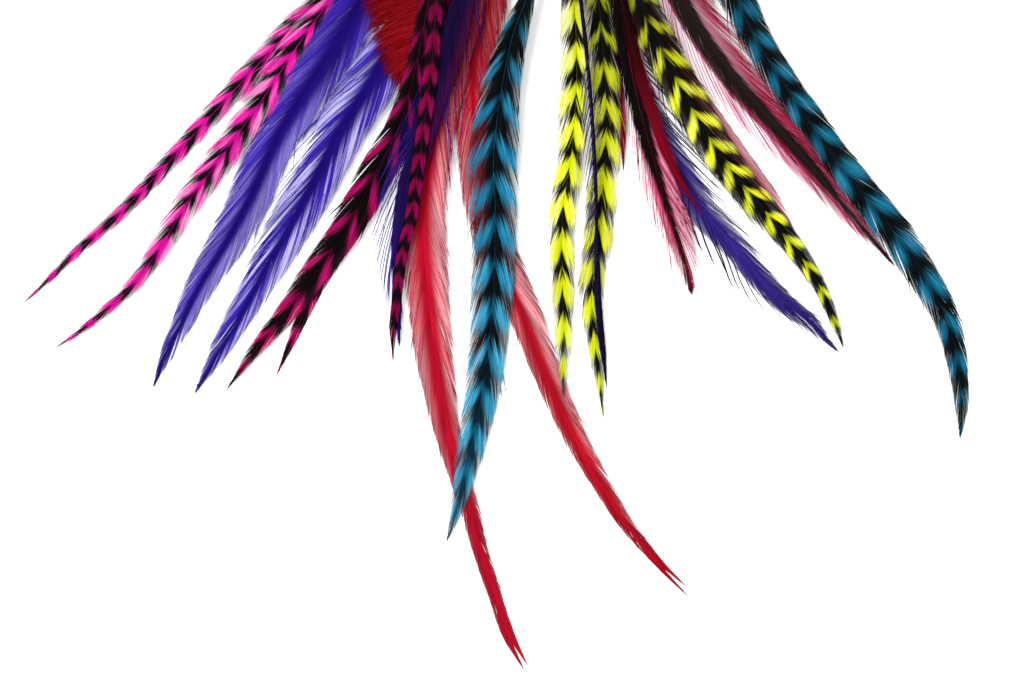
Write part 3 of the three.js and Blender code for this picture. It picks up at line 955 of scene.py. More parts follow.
    def _vane(self, barbs: Barbs, side: Side, coat: Coat, start: float = 0.0, end: float = WHOLE) -> None:
        """Grows one vane: barbs in tufts and locks, from the bare quill to the tip.

        Args:
            barbs: the set that gets the new barbs.
            side: the side of the shaft.
            coat: how the barbs grow.
            start, end: the stretch of shaft that they grow on.
        """
        shaft, rng = self.shaft, self.rng
        first = max(BOND.socket_depth + shaft.bare_length - BARE_OVERLAP, start)
        count = int((min(shaft.length - TIP_GAP, end) - first) / coat.pitch)
        root = first + coat.pitch * (np.arange(count) + rng.uniform(-self.ROOT_SHIFT, self.ROOT_SHIFT, count))
        tuft, tuft_middle = self._bundles(root, *(coat.pitch * size for size in coat.tuft))
        lock, lock_middle = self._bundles(root, *coat.lock)
        tuft_pull = coat.gather * rng.uniform(*self.TUFT_PULL, count)[tuft] * (root - tuft_middle)
        lock_pull = coat.part * rng.uniform(*self.LOCK_PULL, count)[lock] * (root - lock_middle)
        lock_reach = (1 + coat.splay * rng.normal(0, 1, count))[lock]
        lock_run = (1 + coat.splay * rng.normal(0, 1, count))[lock]
        width_here = along(coat.share, root) * np.minimum(shaft.half_width(side, root), self.widest)
        run = (coat.least_run + coat.sweep * width_here) * lock_run * rng.normal(1, coat.fuzz, count)
        stray = rng.random(count) < coat.stray
        end_s, _ = shaft.vane_end(side)
        end_gap = self.END_GAP * rng.exponential(1, count).clip(0, self.MOST_END_GAP)
        run = np.maximum(np.minimum(run, end_s - root - end_gap), LEAST_RUN)
        forked = (root > shaft.length - FORK_RUN) & (end_s > shaft.length)
        run = np.where(forked, (end_s - root) * rng.uniform(*self.PRONG_RUN, count), run)
        reach = along(coat.share, root) * np.minimum(shaft.half_width(side, root + run), self.widest)
        reach = reach * lock_reach * rng.normal(1, coat.fuzz, count) + LEAST_REACH
        reach = np.where(stray, reach * rng.uniform(*self.STRAY_REACH, count), reach)
        t = np.linspace(0, 1, STATIONS)[None, :]
        pull = tuft_pull[:, None] * smooth_step(t, self.PULL_FROM, 1) + lock_pull[:, None] * t ** 2
        s = root[:, None] + run[:, None] * t - np.where(stray[:, None], 0, pull)
        out = reach[:, None] * (1 - (1 - t) ** coat.bow)
        waves = np.sin(t * rng.uniform(*self.WAVES, (count, 1)) + rng.uniform(*self.WAVE_START, (count, 1)))
        out = np.maximum(out + coat.frizz * reach[:, None] * waves * t, LEAST_OUT)
        prong = self._prong(side, s, t, rng.uniform(*self.PRONG_PLACE, (count, 1)))
        out = np.where(forked[:, None], prong, out)
        ruffle = coat.ruffle * rng.normal(0, 1, count)[lock] + rng.normal(0, self.LIFT_NOISE, count)
        lift = self._lift(s, t, ruffle[:, None])
        width = self._widths(coat, reach / run, s, out, t)
        width = np.where(forked[:, None], PRONG_WIDTH, width)
        tone, strand = self._shades(root, tuft)
        barbs.grow(s, side.value * out, lift, width, tone, strand)

    def _widths(self, coat: Coat, steepness: np.ndarray, s: np.ndarray, out: np.ndarray,
                t: np.ndarray) -> np.ndarray:
        """Makes barbs as wide as the room between them asks for.

        Args:
            coat: how the barbs grow.
            steepness: each barb's reach by its run.
            s: distances along the shaft, one row for a barb.
            out: distances from the shaft, likewise.
            t: the share of the barb at each station.

        Returns:
            The width at each station but the last.
        """
        before = t[:, :-1]
        slope = coat.bow * steepness[:, None] * (1 - before) ** (coat.bow - 1)
        room = coat.pitch * slope / np.sqrt(1 + slope ** 2)
        cover = coat.cover + (coat.edge_cover - coat.cover) * smooth_step(before, coat.web, 1)
        width = np.maximum(room * cover, coat.least_width)
        if self.bars:
            finer = self.bars.thin * smooth_step(before, *self.THINNING)
            width *= 1 - finer * self.bars.darkness(s, out)[:, :-1]
        return width

    def _shades(self, root: np.ndarray, tuft: np.ndarray) -> tuple[np.ndarray, np.ndarray]:
        """Draws the shades of barbs.

        Args:
            root: the barbs' places along the shaft.
            tuft: the number of the tuft that each barb clings to.

        Returns:
            Tones, which drift along the vane, and strands, which a tuft shares, from -1 to 1.
        """
        rng, count = self.rng, len(root)
        knots = np.arange(0, self.shaft.length + TONE_STEP, TONE_STEP)
        drift = np.interp(root, knots, rng.normal(0, 1, len(knots)))
        tone = self.TONE_DRIFT * drift + rng.normal(0, self.TONE_NOISE, count)
        strand = rng.uniform(-1, 1, count)[tuft] + rng.normal(0, self.STRAND_NOISE, count)
        return tone.clip(-1, 1), strand.clip(-1, 1)

    def _prong(self, side: Side, s: np.ndarray, t: np.ndarray, part: np.ndarray) -> np.ndarray:
        """Where barbs run that make up one prong of a forked tip.

        Args:
            side: the prong's side of the shaft.
            s: distances along the shaft.
            t: the share of the barb at each station.
            part: each barb's place between the prong's inner edge, 0, and its outer edge, 1.

        Returns:
            Distances from the shaft, positive outwards.
        """
        shaft = self.shaft
        end_s, end_across = shaft.vane_end(side)
        root_width = float(shaft.half_width(side, shaft.length))
        past = np.clip((s - shaft.length) / max(end_s - shaft.length, 0.01), 0, 1)
        middle = root_width / 2 * (1 - past) + end_across * past
        spread = root_width * (1 - past)
        out = np.where(past > 0, middle + (part - 0.5) * spread, part * shaft.half_width(side, s))
        return out * (1 - (1 - np.minimum(t / self.PRONG_JOIN, 1)) ** 1.5)

    def _bundles(self, root: np.ndarray, shortest: float, longest: float) -> tuple[np.ndarray, np.ndarray]:
        """Parts a row of barb roots into neighbouring bundles.

        Args:
            root: the barbs' places along the shaft, in order.
            shortest, longest: the stretches that a bundle may take.

        Returns:
            Each barb's bundle number, and the middle of its bundle.
        """
        spans = np.cumsum(self.rng.uniform(shortest, longest, len(root)))
        bundle = np.searchsorted(spans, root - root[0], side="right").clip(0, len(root) - 1)
        middle = np.bincount(bundle, root) / np.maximum(np.bincount(bundle), 1)
        return bundle, middle[bundle]

    def _lift(self, s: np.ndarray, t: np.ndarray, ruffle: np.ndarray) -> np.ndarray:
        """The height of barbs: they leave the shaft near its top, and locks lift a little outwards."""
        base = self.shaft.height(s) + 0.4 * self.shaft.thin_radius(s) * (1 - t)
        return np.maximum(base + ruffle * t ** 1.5, LEAST_HEIGHT)

    def _tuft(self, barbs: Barbs, tuft: Tuft) -> None:
        """Grows loose, wavy barbs.

        Args:
            barbs: the set that gets the new barbs.
            tuft: their place and size.
        """
        rng, count = self.rng, tuft.count
        root = rng.uniform(tuft.start, tuft.end, count)[:, None]
        t = np.linspace(0, 1, TUFT_STATIONS)[None, :]
        run = tuft.run * rng.uniform(*self.LOOSE_RUN, (count, 1))
        longest = tuft.reach or self.shaft.half_width(tuft.side, root + run)
        reach = longest * rng.uniform(tuft.least, self.LOOSE_REACH, (count, 1))
        turns = t * rng.uniform(*self.LOOSE_WAVES, (count, 1)) + rng.uniform(*self.WAVE_START, (count, 1))
        wave = tuft.wave * reach * (np.sin(turns) * t)
        s = root + run * (0.7 * t + 0.3 * t ** 2) + wave
        out = np.maximum(reach * (1 - (1 - t) ** 1.25) + 0.5 * wave, LEAST_OUT)
        arch = tuft.rise * rng.uniform(*self.LOOSE_RISE, (count, 1)) * np.sin(math.pi * 0.8 * t)
        lift = np.maximum(self.shaft.height(s) + arch, LEAST_HEIGHT)
        width = np.repeat(tuft.width * (1 - 0.7 * t[:, :-1] ** 1.5), count, 0)
        tone = rng.normal(0, self.LOOSE_TONE, count).clip(-1, 1)
        barbs.grow(s, tuft.side.value * out, lift, width, tone, tone)


# In each dye, shade is painted shade: a factor on brightness, mostly darker towards the bond where the
# stacked feathers shade each other.
PINK = HackleDye(
    "pink_hackle", core="#e010a0", vane="#f622b8", pale="#ffe0f8", dark="#12060c", dark_ends_and_glints="#d8ccd4",
    streak=0.5, end_pale=0.1, shade=((85, 0.8), (115, 1.0)),
)
# Its pale lilac on the right vane is partly painted highlight: a silky band of light between the dark middle
# and the edge.
PURPLE = HackleDye(
    "purple_hackle", core="#200c7c", vane="#4428b8", pale="#c4b8f0",
    core_half=((105, 3.8), (140, 2.4), (190, 1.2)), left_pale=((125, 0.0), (155, 0.12)),
    right_pale=((100, 0.0), (130, 0.25), (150, 0.35)), streak=0.2, end_pale=0.1,
)
# Painted sheen: near-white lilac streaks and a paler band on the left vane near the shaft stand in for silky
# highlights.
PURPLE_PAINTED_SHEEN = replace(
    PURPLE, pale="#d8d0ff", core_half=((110, 3.4), (150, 2.2), (190, 1.2)), streak=1.0, end_pale=0.3,
    left_pale=((95, 0.1), (112, 0.4), (135, 0.25), (160, 0.1)), right_pale=((110, 0.1), (140, 0.25)),
)
PURPLE_HAIR = HackleDye("purple_hair", core="#24109c", vane="#3018b0", pale="#5c40cc")
MAGENTA = HackleDye(
    "magenta_hackle", core="#98004c", vane="#c00468", pale="#e84898", dark="#080204", dark_ends_and_glints="#3c1c2c",
    shade=((80, 0.5), (115, 0.8), (140, 1.0), (170, 1.05), (195, 1.4)), end_pale=0.2,
)
MAROON = HackleDye(
    "maroon_hackle", core="#84003c", vane="#a4045c", pale="#b01868", dark="#0c0410", dark_ends_and_glints="#200818",
    shade=((75, 0.6), (110, 1.0)), end_pale=0.1,
)
VIOLET = HackleDye(
    "violet_hackle", core="#1c0640", vane="#280a58", pale="#580c38", core_half=3.0,
    right_pale=((80, 0.8), (115, 0.7), (150, 0.1)), shade=((80, 0.7), (130, 1.0)), end_pale=0.1,
)
VIOLET_HAIR = HackleDye(
    "violet_hair", core="#2c1088", vane="#3c20a8", pale="#6c50d0", shade=((80, 0.3), (115, 0.55), (150, 1.0)),
)
RED = HackleDye(
    "red_hackle", core="#c40c2c", vane="#d83850", pale="#fcc4ca",
    core_half=((120, 2.2), (150, 3.0), (220, 2.4)),
    left_pale=((115, 0.05), (135, 0.2), (200, 0.3), (225, 0.15)),
    right_pale=((95, 0.0), (115, 0.25), (135, 0.6), (200, 0.5), (225, 0.2)),
    shade=((70, 0.55), (105, 0.85), (125, 0.95)), streak=0.35, grain=0.3, end_pale=0.1, horn="#a80818",
)
RED_SWEPT = replace(
    RED, core="#b80c24", vane="#cc2038", core_half=((85, 2.0), (110, 0.8), (150, 1.2), (185, 2.0)),
    left_pale=((108, 0.0), (125, 0.3), (150, 0.4), (180, 0.1)),
    right_pale=((105, 0.0), (120, 0.3), (150, 0.65), (200, 0.5), (225, 0.2)),
    shade=((75, 0.6), (108, 0.9), (125, 1.0)), streak=0.25, horn="#900814",
)
RED_HAIR = HackleDye(
    "red_hair", core="#a80820", vane="#b40c28", pale="#c82440", shade=((80, 0.6), (115, 1.0)),
)
RED_DOWN = HackleDye(
    "red_down", core="#8c0414", vane="#ac0818", pale="#cc3040", core_half=7.0, glow=0.45, streak=0.6,
    end_pale=0.1, shade=((40, 0.4), (75, 0.75), (100, 1.0)),
)
TEAL = HackleDye(
    "teal_hackle", core="#1278a2", vane="#168cb8", pale="#5cd4f4", dark="#060a0c", dark_ends_and_glints="#a4b4b8",
    blush="#741824", left_blush=((112, 0.0), (120, 0.9), (150, 0.6), (165, 0.2), (190, 0.5), (225, 0.7)),
    right_blush=((140, 0.0), (152, 0.5), (168, 0.2), (190, 0.4), (225, 0.7)), blush_from=2.4,
    horn="#1070a0", left_pale=((140, 0.0), (185, 0.5)), right_pale=((140, 0.0), (185, 0.45)),
    streak=0.35, end_pale=0.6,
)
TEAL_DEEP = replace(
    TEAL, core="#0e6c90", vane="#168cb4", dark="#060e10", dark_ends_and_glints="#283034", blush="", horn="#0c4c64",
    left_pale=0.0, right_pale=0.0, shade=((90, 0.6), (120, 0.75), (160, 0.9), (185, 1.0)), end_pale=0.1,
)
YELLOW = HackleDye(
    "yellow_hackle", core="#e4ee00", vane="#faff10", pale="#fdffc0", dark="#0a0a06", dark_ends_and_glints="#c8c4b4",
    horn="#54580c", left_pale=((85, 0.8), (105, 0.15)), right_pale=((85, 0.6), (110, 0.1)), streak=0.4,
)
YELLOW_DEEP = replace(
    YELLOW, left_pale=0.0, right_pale=0.0, shade=((80, 0.6), (105, 0.75), (135, 1.0)), horn="#202208",
)
YELLOW_WARM = replace(
    YELLOW_DEEP, dark_ends_and_glints="#64645c", shade=((80, 0.45), (105, 0.8), (130, 1.0)), blush="#501008",
    left_blush=((120, 0.2), (165, 0.0)), blush_from=2.0,
    right_blush=((100, 0.2), (120, 0.6), (150, 0.6), (168, 0.0)),
)
BLACK_HAIR = HackleDye("black_hair", core="#12120c", vane="#1c1c18", pale="#4c4c48")
ORANGE_HAIR = HackleDye("orange_hair", core="#98100c", vane="#a81c10", pale="#d05020", streak=0.4)
NAVY = HackleDye("navy_hackle", core="#0c0628", vane="#120a34", pale="#1c1244")
NAVY_HAIR = HackleDye("navy_hair", core="#4c4470", vane="#5c5480", pale="#8c84a8")
INDIGO = HackleDye(
    "indigo_hackle", core="#362688", vane="#483c98", pale="#a8a0cc", core_half=2.6,
    right_pale=((105, 0.1), (130, 0.5)), shade=((95, 0.5), (130, 1.0)), streak=0.8, grain=0.3,
)
INDIGO_HAIR = HackleDye("indigo_hair", core="#180840", vane="#201050", pale="#50407c")
BADGER = HackleDye(
    "badger_hackle", core="#b80c3c", vane="#d0386c", pale="#f8bcd4", dark="#241818", dark_ends_and_glints="#483638",
    streak=0.6, left_pale=0.4, right_pale=0.55, end_pale=0.0,
)
BADGER_ROSE = replace(
    BADGER, core="#b88494", vane="#a00c38", pale="#d87890", core_half=((108, 3.8), (124, 1.0)),
    left_pale=0.0, right_pale=((85, 0.3), (115, 0.0)), horn="#38202a",
)
BADGER_BLACK = replace(BADGER, dark="#0c0606", dark_ends_and_glints="#1c1012")
CRIMSON_HAIR = HackleDye(
    "crimson_hair", core="#a00430", vane="#b40c3c", pale="#e85c94", streak=0.8, left_pale=0.2,
)
# Its painted shade goes near black towards the bond, where it lies under the other feathers.
CRIMSON = HackleDye(
    "crimson_hackle", core="#84041c", vane="#a00a28", pale="#b82044", horn="#2c040c",
    shade=((86, 0.04), (98, 0.15), (108, 0.5), (120, 1.0)),
)
PINK_HAIR = replace(CRIMSON_HAIR, name="pink_hair", core="#c01860", vane="#d84088", pale="#f4a8cc")
ROSE = HackleDye(
    "rose_hackle", core="#e48c9c", vane="#f0b0bc", pale="#a80c20", end_pale=1.0, end_from=0.85, streak=0.05,
)


FRAYED = Coat(web=0.45, edge_cover=1.1, tuft=(1, 4))
OPEN_EDGE = Coat(web=0.35, cover=2.6, edge_cover=0.7, tuft=(4, 8), gather=0.7, part=0.1, stray=0.02)
SILKY = Coat(web=0.6, edge_cover=0.9, tuft=(3, 8), gather=0.55, part=0.12)
SHEER = Coat(web=0.3, cover=2.8, edge_cover=0.8, gather=0.3)
COMB = Coat(
    pitch=2.2, sweep=3.4, bow=1.2, web=0.1, cover=0.5, edge_cover=0.4, least_width=0.18,
    tuft=(1, 1), gather=0.0, lock=(8, 25), part=0.06, splay=0.06, fuzz=0.08, frizz=0.004,
)
RED_COMB = replace(COMB, pitch=2.7, cover=0.34, edge_cover=0.3, least_width=0.2)


def pink_and_purple() -> list[Hackle]:
    """Lists the four pink and purple feathers at the left, from left to right."""
    return [
        Hackle(
            "pink_grizzly_outer", "pink_hackle", row=0, layer=1, dye=PINK, coat=OPEN_EDGE,
            bars=Bars(
                (104.5, 112, 121, 131, 141, 150.5, 160, 169, 177.5, 187, 196.5, 206, 215, 222.5),
                slope=1.1, peak=1.2, lean=0.8, ragged=0.14, thin=0.7, share=0.48,
            ),
            route=[
                (-21.5, -31.5, 1.2), (-43.5, -54, 3.9), (-65, -77.5, 4.2), (-76.5, -89, 3.9),
                (-95.5, -109.5, 3), (-106.5, -121.5, 2.6), (-123, -139, 2.1), (-138, -152.5, 1.5),
                (-145.5, -160, 0.9), (-153.5, -167.5, 0),
            ],
        ),
        Hackle(
            "pink_grizzly_inner", "pink_hackle", row=1, layer=2, outer=1.2, dye=PINK, coat=OPEN_EDGE,
            bars=Bars(
                (120, 130, 139.5, 149, 158.5, 167, 177, 188.5, 201, 211, 219, 227),
                lean=-0.8, ragged=0.14, thin=0.85, share=0.43,
            ),
            route=[
                (-20, -31.5, 1.2), (-41, -54, 4.2), (-61, -76.5, 5.1), (-70.5, -89.5, 5.1),
                (-81, -105.5, 5), (-92, -121, 4.6), (-103.5, -136.5, 4.2), (-112.5, -151, 3.3),
                (-120.5, -162, 2.2), (-127.5, -168.5, 1.5), (-136.5, -176, 0.9), (-144, -181, 0),
            ],
        ),
        Hackle(
            "purple_outer", "purple_hackle", row=2, layer=3, dye=PURPLE,
            coat=replace(SILKY, gather=0.7, part=0.2, lock=(4, 14)),
            right_coat=replace(SILKY, share=((105, 1.0), (118, 0.8), (136, 1.0), (165, 1.05)), part=0.2),
            route=[
                (-18.5, -31.5, 1.8), (-37, -54, 6), (-53, -79.5, 7.8), (-63, -96, 7.8), (-76.5, -117, 7.2),
                (-85.5, -136.5, 6.9, 6.6), (-92, -148.5, 6), (-99.5, -160.5, 4.5), (-107, -175.5, 3),
                (-111.5, -185, 1.8), (-114.5, -192.5, 0),
            ],
        ),
        Hackle(
            "purple_inner", "purple_hackle", row=1, layer=4, dye=PURPLE_PAINTED_SHEEN,
            coat=replace(
                SILKY, part=0.25, splay=0.1,
                share=((100, 1.0), (112, 0.8), (136, 0.95), (150, 1.1), (190, 1.3)),
            ),
            right_coat=SILKY, fringes=(Fringe(Side.LEFT, replace(COMB, share=1.15), PURPLE_HAIR, 105),),
            route=[
                (-14.5, -31.5, 1.8), (-28.5, -54, 5.4), (-36, -76.5, 7.2), (-46.5, -97.5, 7.5),
                (-57, -114, 8.4, 7.8), (-65, -129, 8.1, 7.5), (-73, -144, 7.2, 6.6), (-80, -156, 6),
                (-88, -171, 3.9), (-97, -186, 2.1), (-102, -194.5, 0),
            ],
        ),
    ]


def magenta_to_violet() -> list[Hackle]:
    """Lists the dark red and violet feathers, left of the middle, from left to right."""
    return [
        Hackle(
            "magenta_grizzly_wide", "magenta_hackle", row=2, layer=7, outer=1, dye=MAGENTA,
            coat=Coat(share=((88, 0.5), (105, 0.75), (118, 1.0))), right_coat=Coat(),
            bars=Bars(
                (84, 94.5, 105, 116, 129, 142, 156, 171, 186, 198.5, 211),
                slope=1.7, share=((165, 0.66), (190, 0.48)), soft=0.8, rim=0.5, join=0.8, join_half=2.2,
                thin=0.3,
            ),
            route=[
                (-13, -31.5, 1.5), (-25.5, -54, 4.5), (-31.5, -76.5, 5.4), (-35, -94.5, 5.4),
                (-41, -115.5, 5.4, 5.7), (-46.5, -126, 5.2, 5.7), (-53.5, -139.5, 4.8, 5.5),
                (-58.5, -148, 4.6, 4.8), (-66.5, -159, 4.2, 4.5), (-75, -171, 3.3), (-83.5, -181, 2.1),
                (-92.5, -193.5, 0),
            ],
        ),
        Hackle(
            "magenta_grizzly_slim", "magenta_hackle", row=1, layer=6, dye=MAGENTA,
            bars=Bars((160, 171.5, 183.5, 195.5), slope=1.4),
            route=[
                (-11.5, -31.5, 1.2), (-23.5, -54, 3), (-29.5, -76.5, 3.9), (-33.5, -94.5, 3.9),
                (-39.5, -115.5, 3.9), (-52, -141, 3), (-63, -157.5, 2.7), (-69.5, -171, 1.8),
                (-73.5, -180, 1.2), (-77.5, -189, 0),
            ],
        ),
        Hackle(
            "maroon_grizzly_slim", "maroon_hackle", row=2, layer=9, outer=2.6, dye=MAROON,
            bars=Bars(
                (87, 97, 105.5, 115, 123.5, 131.5, 138.5, 145.5, 153, 160.5, 168.5, 177, 184),
                slope=0.8, peak=1.6, share=0.46, join=0.8, join_half=0.8,
            ),
            route=[
                (-10, -31.5, 0.9), (-22, -54, 2.1), (-29, -76.5, 2.1), (-30.5, -93, 2.1),
                (-32.5, -109.5, 2.1), (-35, -127.5, 2), (-37, -142, 1.8), (-39.5, -151.5, 1.6),
                (-41, -163.5, 1.5), (-42.5, -175.5, 1.2), (-42.5, -185, 0),
            ],
        ),
        Hackle(
            "violet_loose", "violet_hackle", row=1, layer=8, outer=1.8, dye=VIOLET,
            coat=Coat(share=((90, 0.5), (115, 0.3), (150, 0.22))),
            right_coat=Coat(web=0.5, share=((90, 0.75), (130, 0.7), (170, 0.6))),
            fringes=(
                Fringe(Side.LEFT, replace(COMB, pitch=1.9, sweep=2.8, least_width=0.25), VIOLET_HAIR, 112),
                Fringe(Side.RIGHT, replace(COMB, pitch=2.6), VIOLET_HAIR, start=105),
            ),
            tufts=(
                Tuft(Side.RIGHT, 60, 110, run=36, count=18, dye=VIOLET_HAIR, reach=15, width=0.24, rise=0.2),
                Tuft(Side.LEFT, 70, 115, run=46, count=9, dye=VIOLET_HAIR, reach=9, width=0.24, rise=0.2),
            ),
            route=[
                (-7, -31.5, 1.5), (-14.5, -54, 4.2), (-22, -76.5, 5.4), (-25.5, -88.5, 5.4, 7.2),
                (-28.5, -97.5, 6, 7.8), (-31.5, -106.5, 6.6, 7.8), (-37.5, -126, 6.9, 7.2),
                (-40.5, -142.5, 7.8, 5.4), (-41.5, -157.5, 7.2, 3), (-41, -169.5, 3.3, 1.5),
                (-40.5, -180.5, 0),
            ],
        ),
    ]


def long_reds() -> list[Hackle]:
    """Lists the two long red feathers, from left to right."""
    return [
        Hackle(
            "red_long", "red_hackle", row=0, layer=5, dye=RED,
            coat=replace(SILKY, tuft=(2, 4), gather=0.7, lock=(3, 9), part=0.12),
            right_coat=replace(FRAYED, share=0.95), widest=7.2,
            fringes=(
                Fringe(Side.RIGHT, RED_COMB, RED_HAIR),
                Fringe(Side.LEFT, RED_COMB, RED_HAIR, start=110),
            ),
            tufts=(
                Tuft(
                    Side.LEFT, 26, 92, run=24, count=2700, dye=RED_DOWN, least=0.25, width=0.42, wave=0.02,
                    rise=0.7,
                ),
                Tuft(Side.LEFT, 72, 98, run=15, count=1000, dye=RED_DOWN, width=0.4, wave=0.02, rise=0.7),
            ),
            fork=((-3, -278), (-2, -276.5)),
            route=[
                (-6.5, -31.5, 1.5), (-12.5, -48, 12, 3.6), (-15.5, -58.5, 24, 4.8), (-18.5, -69, 29, 5.4),
                (-20.5, -76.5, 31, 6), (-23, -85.5, 31, 6.6), (-25.5, -94.5, 26, 6.6), (-28, -105, 17, 6.6),
                (-29.5, -112.5, 7.2, 6.6), (-31, -121.5, 6.6), (-33.5, -139.5, 6, 6.9),
                (-33.5, -148.5, 6.3, 7.2), (-32, -166.5, 6.3, 6.6), (-30, -184.5, 5.7, 6),
                (-27.5, -199.5, 4.5), (-24.5, -213, 3.6), (-19.5, -229.5, 2.7, 3),
                (-16.5, -241.5, 2.1, 2.4), (-12.5, -253.5, 2.1), (-8, -267, 1.8), (-6.5, -270, 1.5),
            ],
        ),
        Hackle(
            "red_swept", "red_hackle", row=1, layer=3, dye=RED_SWEPT,
            coat=FRAYED,
            right_coat=replace(FRAYED, share=((85, 1.2), (120, 1.0), (190, 1.15))),
            fringes=(
                Fringe(Side.RIGHT, replace(RED_COMB, pitch=2.2), RED_HAIR),
                Fringe(Side.LEFT, RED_COMB, RED_HAIR, end=150),
            ),
            fork=((46.5, -256), (46, -253)),
            route=[
                (-4, -31.5, 1.5), (-9.5, -54, 4.2), (-15, -76.5, 6), (-18, -94.5, 6), (-18.5, -106.5, 6),
                (-17, -121.5, 6), (-15, -136.5, 6.6, 6), (-11.5, -151.5, 6), (-7, -163.5, 5.1, 6),
                (-3, -172.5, 4.5, 5.4), (1.5, -184.5, 3.9, 4.8), (6.5, -196.5, 3.6, 4.2),
                (13, -210.5, 3, 3.3), (20, -222.5, 2.4, 2.7), (27, -233.5, 2.1), (34.5, -242.5, 1.5),
                (38.5, -247, 1.2),
            ],
        ),
    ]


def teal_and_yellow() -> list[Hackle]:
    """Lists the feathers in the middle, teal to red, from left to right."""
    return [
        Hackle(
            "teal_grizzly_center", "teal_hackle", row=2, layer=6, outer=1, dye=TEAL,
            coat=replace(OPEN_EDGE, cover=2.8, gather=0.5), right_coat=Coat(),
            bars=Bars(
                (89, 101.5, 113, 126, 138.5, 151, 163.5, 176, 188.5, 201, 213, 226, 238),
                slope=0.9, share=((88, 0.95), (100, 0.72), (118, 0.6), (200, 0.46), (235, 0.35)), soft=1.1,
                ink=((185, 1.0), (225, 0.85)), ragged=0.16, join=1.0, join_half=2.8, rim=0.3, thin=0.4,
            ),
            route=[
                (4.5, -31.5, 0.9), (5, -54, 0.9), (-2.5, -76.5, 1.8, 2.4), (-6.5, -87, 3.6, 4.5),
                (-9.5, -100.5, 5.7, 5.4), (-11.5, -114, 7.2, 6.3), (-12.5, -126, 8.4, 7.2),
                (-12, -136.5, 8.7, 6.9), (-12, -148.5, 7.5, 6.6), (-12.5, -163.5, 6.6, 6),
                (-14, -181.5, 6, 5.4), (-16, -195, 5.4), (-18, -205.5, 4.8), (-20.5, -217.5, 3.9, 3.6),
                (-23, -228, 2.4, 2.1), (-26.5, -239, 0),
            ],
        ),
        Hackle(
            "yellow_grizzly_left", "yellow_hackle", row=1, layer=4, outer=1, dye=YELLOW, coat=OPEN_EDGE,
            bars=Bars(
                (85, 96.5, 108.5, 119, 130.5, 142, 154.5, 167.5, 180, 192),
                slope=0.6, peak=2.5, share=0.39, ragged=0.12, join=0.6, thin=0.8,
            ),
            route=[
                (5.5, -31.5, 1.2), (9.5, -54, 3), (11.5, -76.5, 4.2, 3.6), (12.5, -94.5, 5.1, 3),
                (12, -109.5, 5.1, 3.3), (10.5, -126, 4.2, 3.9), (8.5, -138, 3.9, 4.2), (8, -150, 3.9),
                (8.5, -166.5, 3.3), (8.5, -181.5, 2.4), (8.5, -196, 0),
            ],
        ),
        Hackle(
            "navy_slim", "navy_hackle", row=2, layer=7, outer=1, dye=NAVY,
            coat=Coat(share=((140, 0.2), (160, 0.9))),
            right_coat=Coat(share=((140, 0.35), (160, 1.0))),
            fringes=(
                Fringe(Side.LEFT, replace(COMB, pitch=2.8, least_width=0.13, share=1.2), NAVY_HAIR, 95, 175),
            ),
            route=[
                (6.5, -31.5, 0.9), (11, -54, 1.8), (13.5, -76.5, 2.4, 1.5), (15.5, -94.5, 2.4, 1.5),
                (17, -112.5, 2.4, 1.5), (18, -130.5, 2.4, 1.5), (18.5, -148.5, 1.8, 1.2),
                (19, -166.5, 1.2, 0.9), (20.5, -183, 0.9, 0.8), (21.5, -193, 0),
            ],
        ),
        Hackle(
            "yellow_grizzly_middle", "yellow_hackle", row=1, layer=2, dye=YELLOW_DEEP, coat=OPEN_EDGE,
            bars=Bars(
                (80.5, 91, 103, 113.5, 124.5, 138, 151, 162.5, 174.5, 186, 197),
                slope=0.6, peak=2.5, share=((80, 0.7), (95, 0.6), (110, 0.4)), ragged=0.12, join=0.6,
                thin=0.8,
            ),
            fringes=(Fringe(Side.LEFT, replace(COMB, pitch=1.8), BLACK_HAIR, 75, 160),),
            route=[
                (9, -31.5, 1.5), (15.5, -54, 3.9), (19, -76.5, 5.1), (20.5, -94.5, 5.1, 4.8),
                (21.5, -115.5, 4.8, 4.5), (20.5, -130.5, 4.5), (19, -148.5, 4.5), (17, -163.5, 3.9, 3.6),
                (17.5, -175.5, 2.7), (19, -187.5, 1.8), (20.5, -201.5, 0),
            ],
        ),
        Hackle(
            "red_thin", "red_hackle", row=2, layer=1.5, outer=1, dye=CRIMSON,
            route=[
                (10, -31.5, 0.6), (17, -54, 1.5), (21, -76.5, 1.8), (23, -91.5, 1.8),
                (25, -106.5, 1.2, 1.8), (26, -115.5, 0.9, 1.5), (26.5, -128, 0),
            ],
        ),
    ]


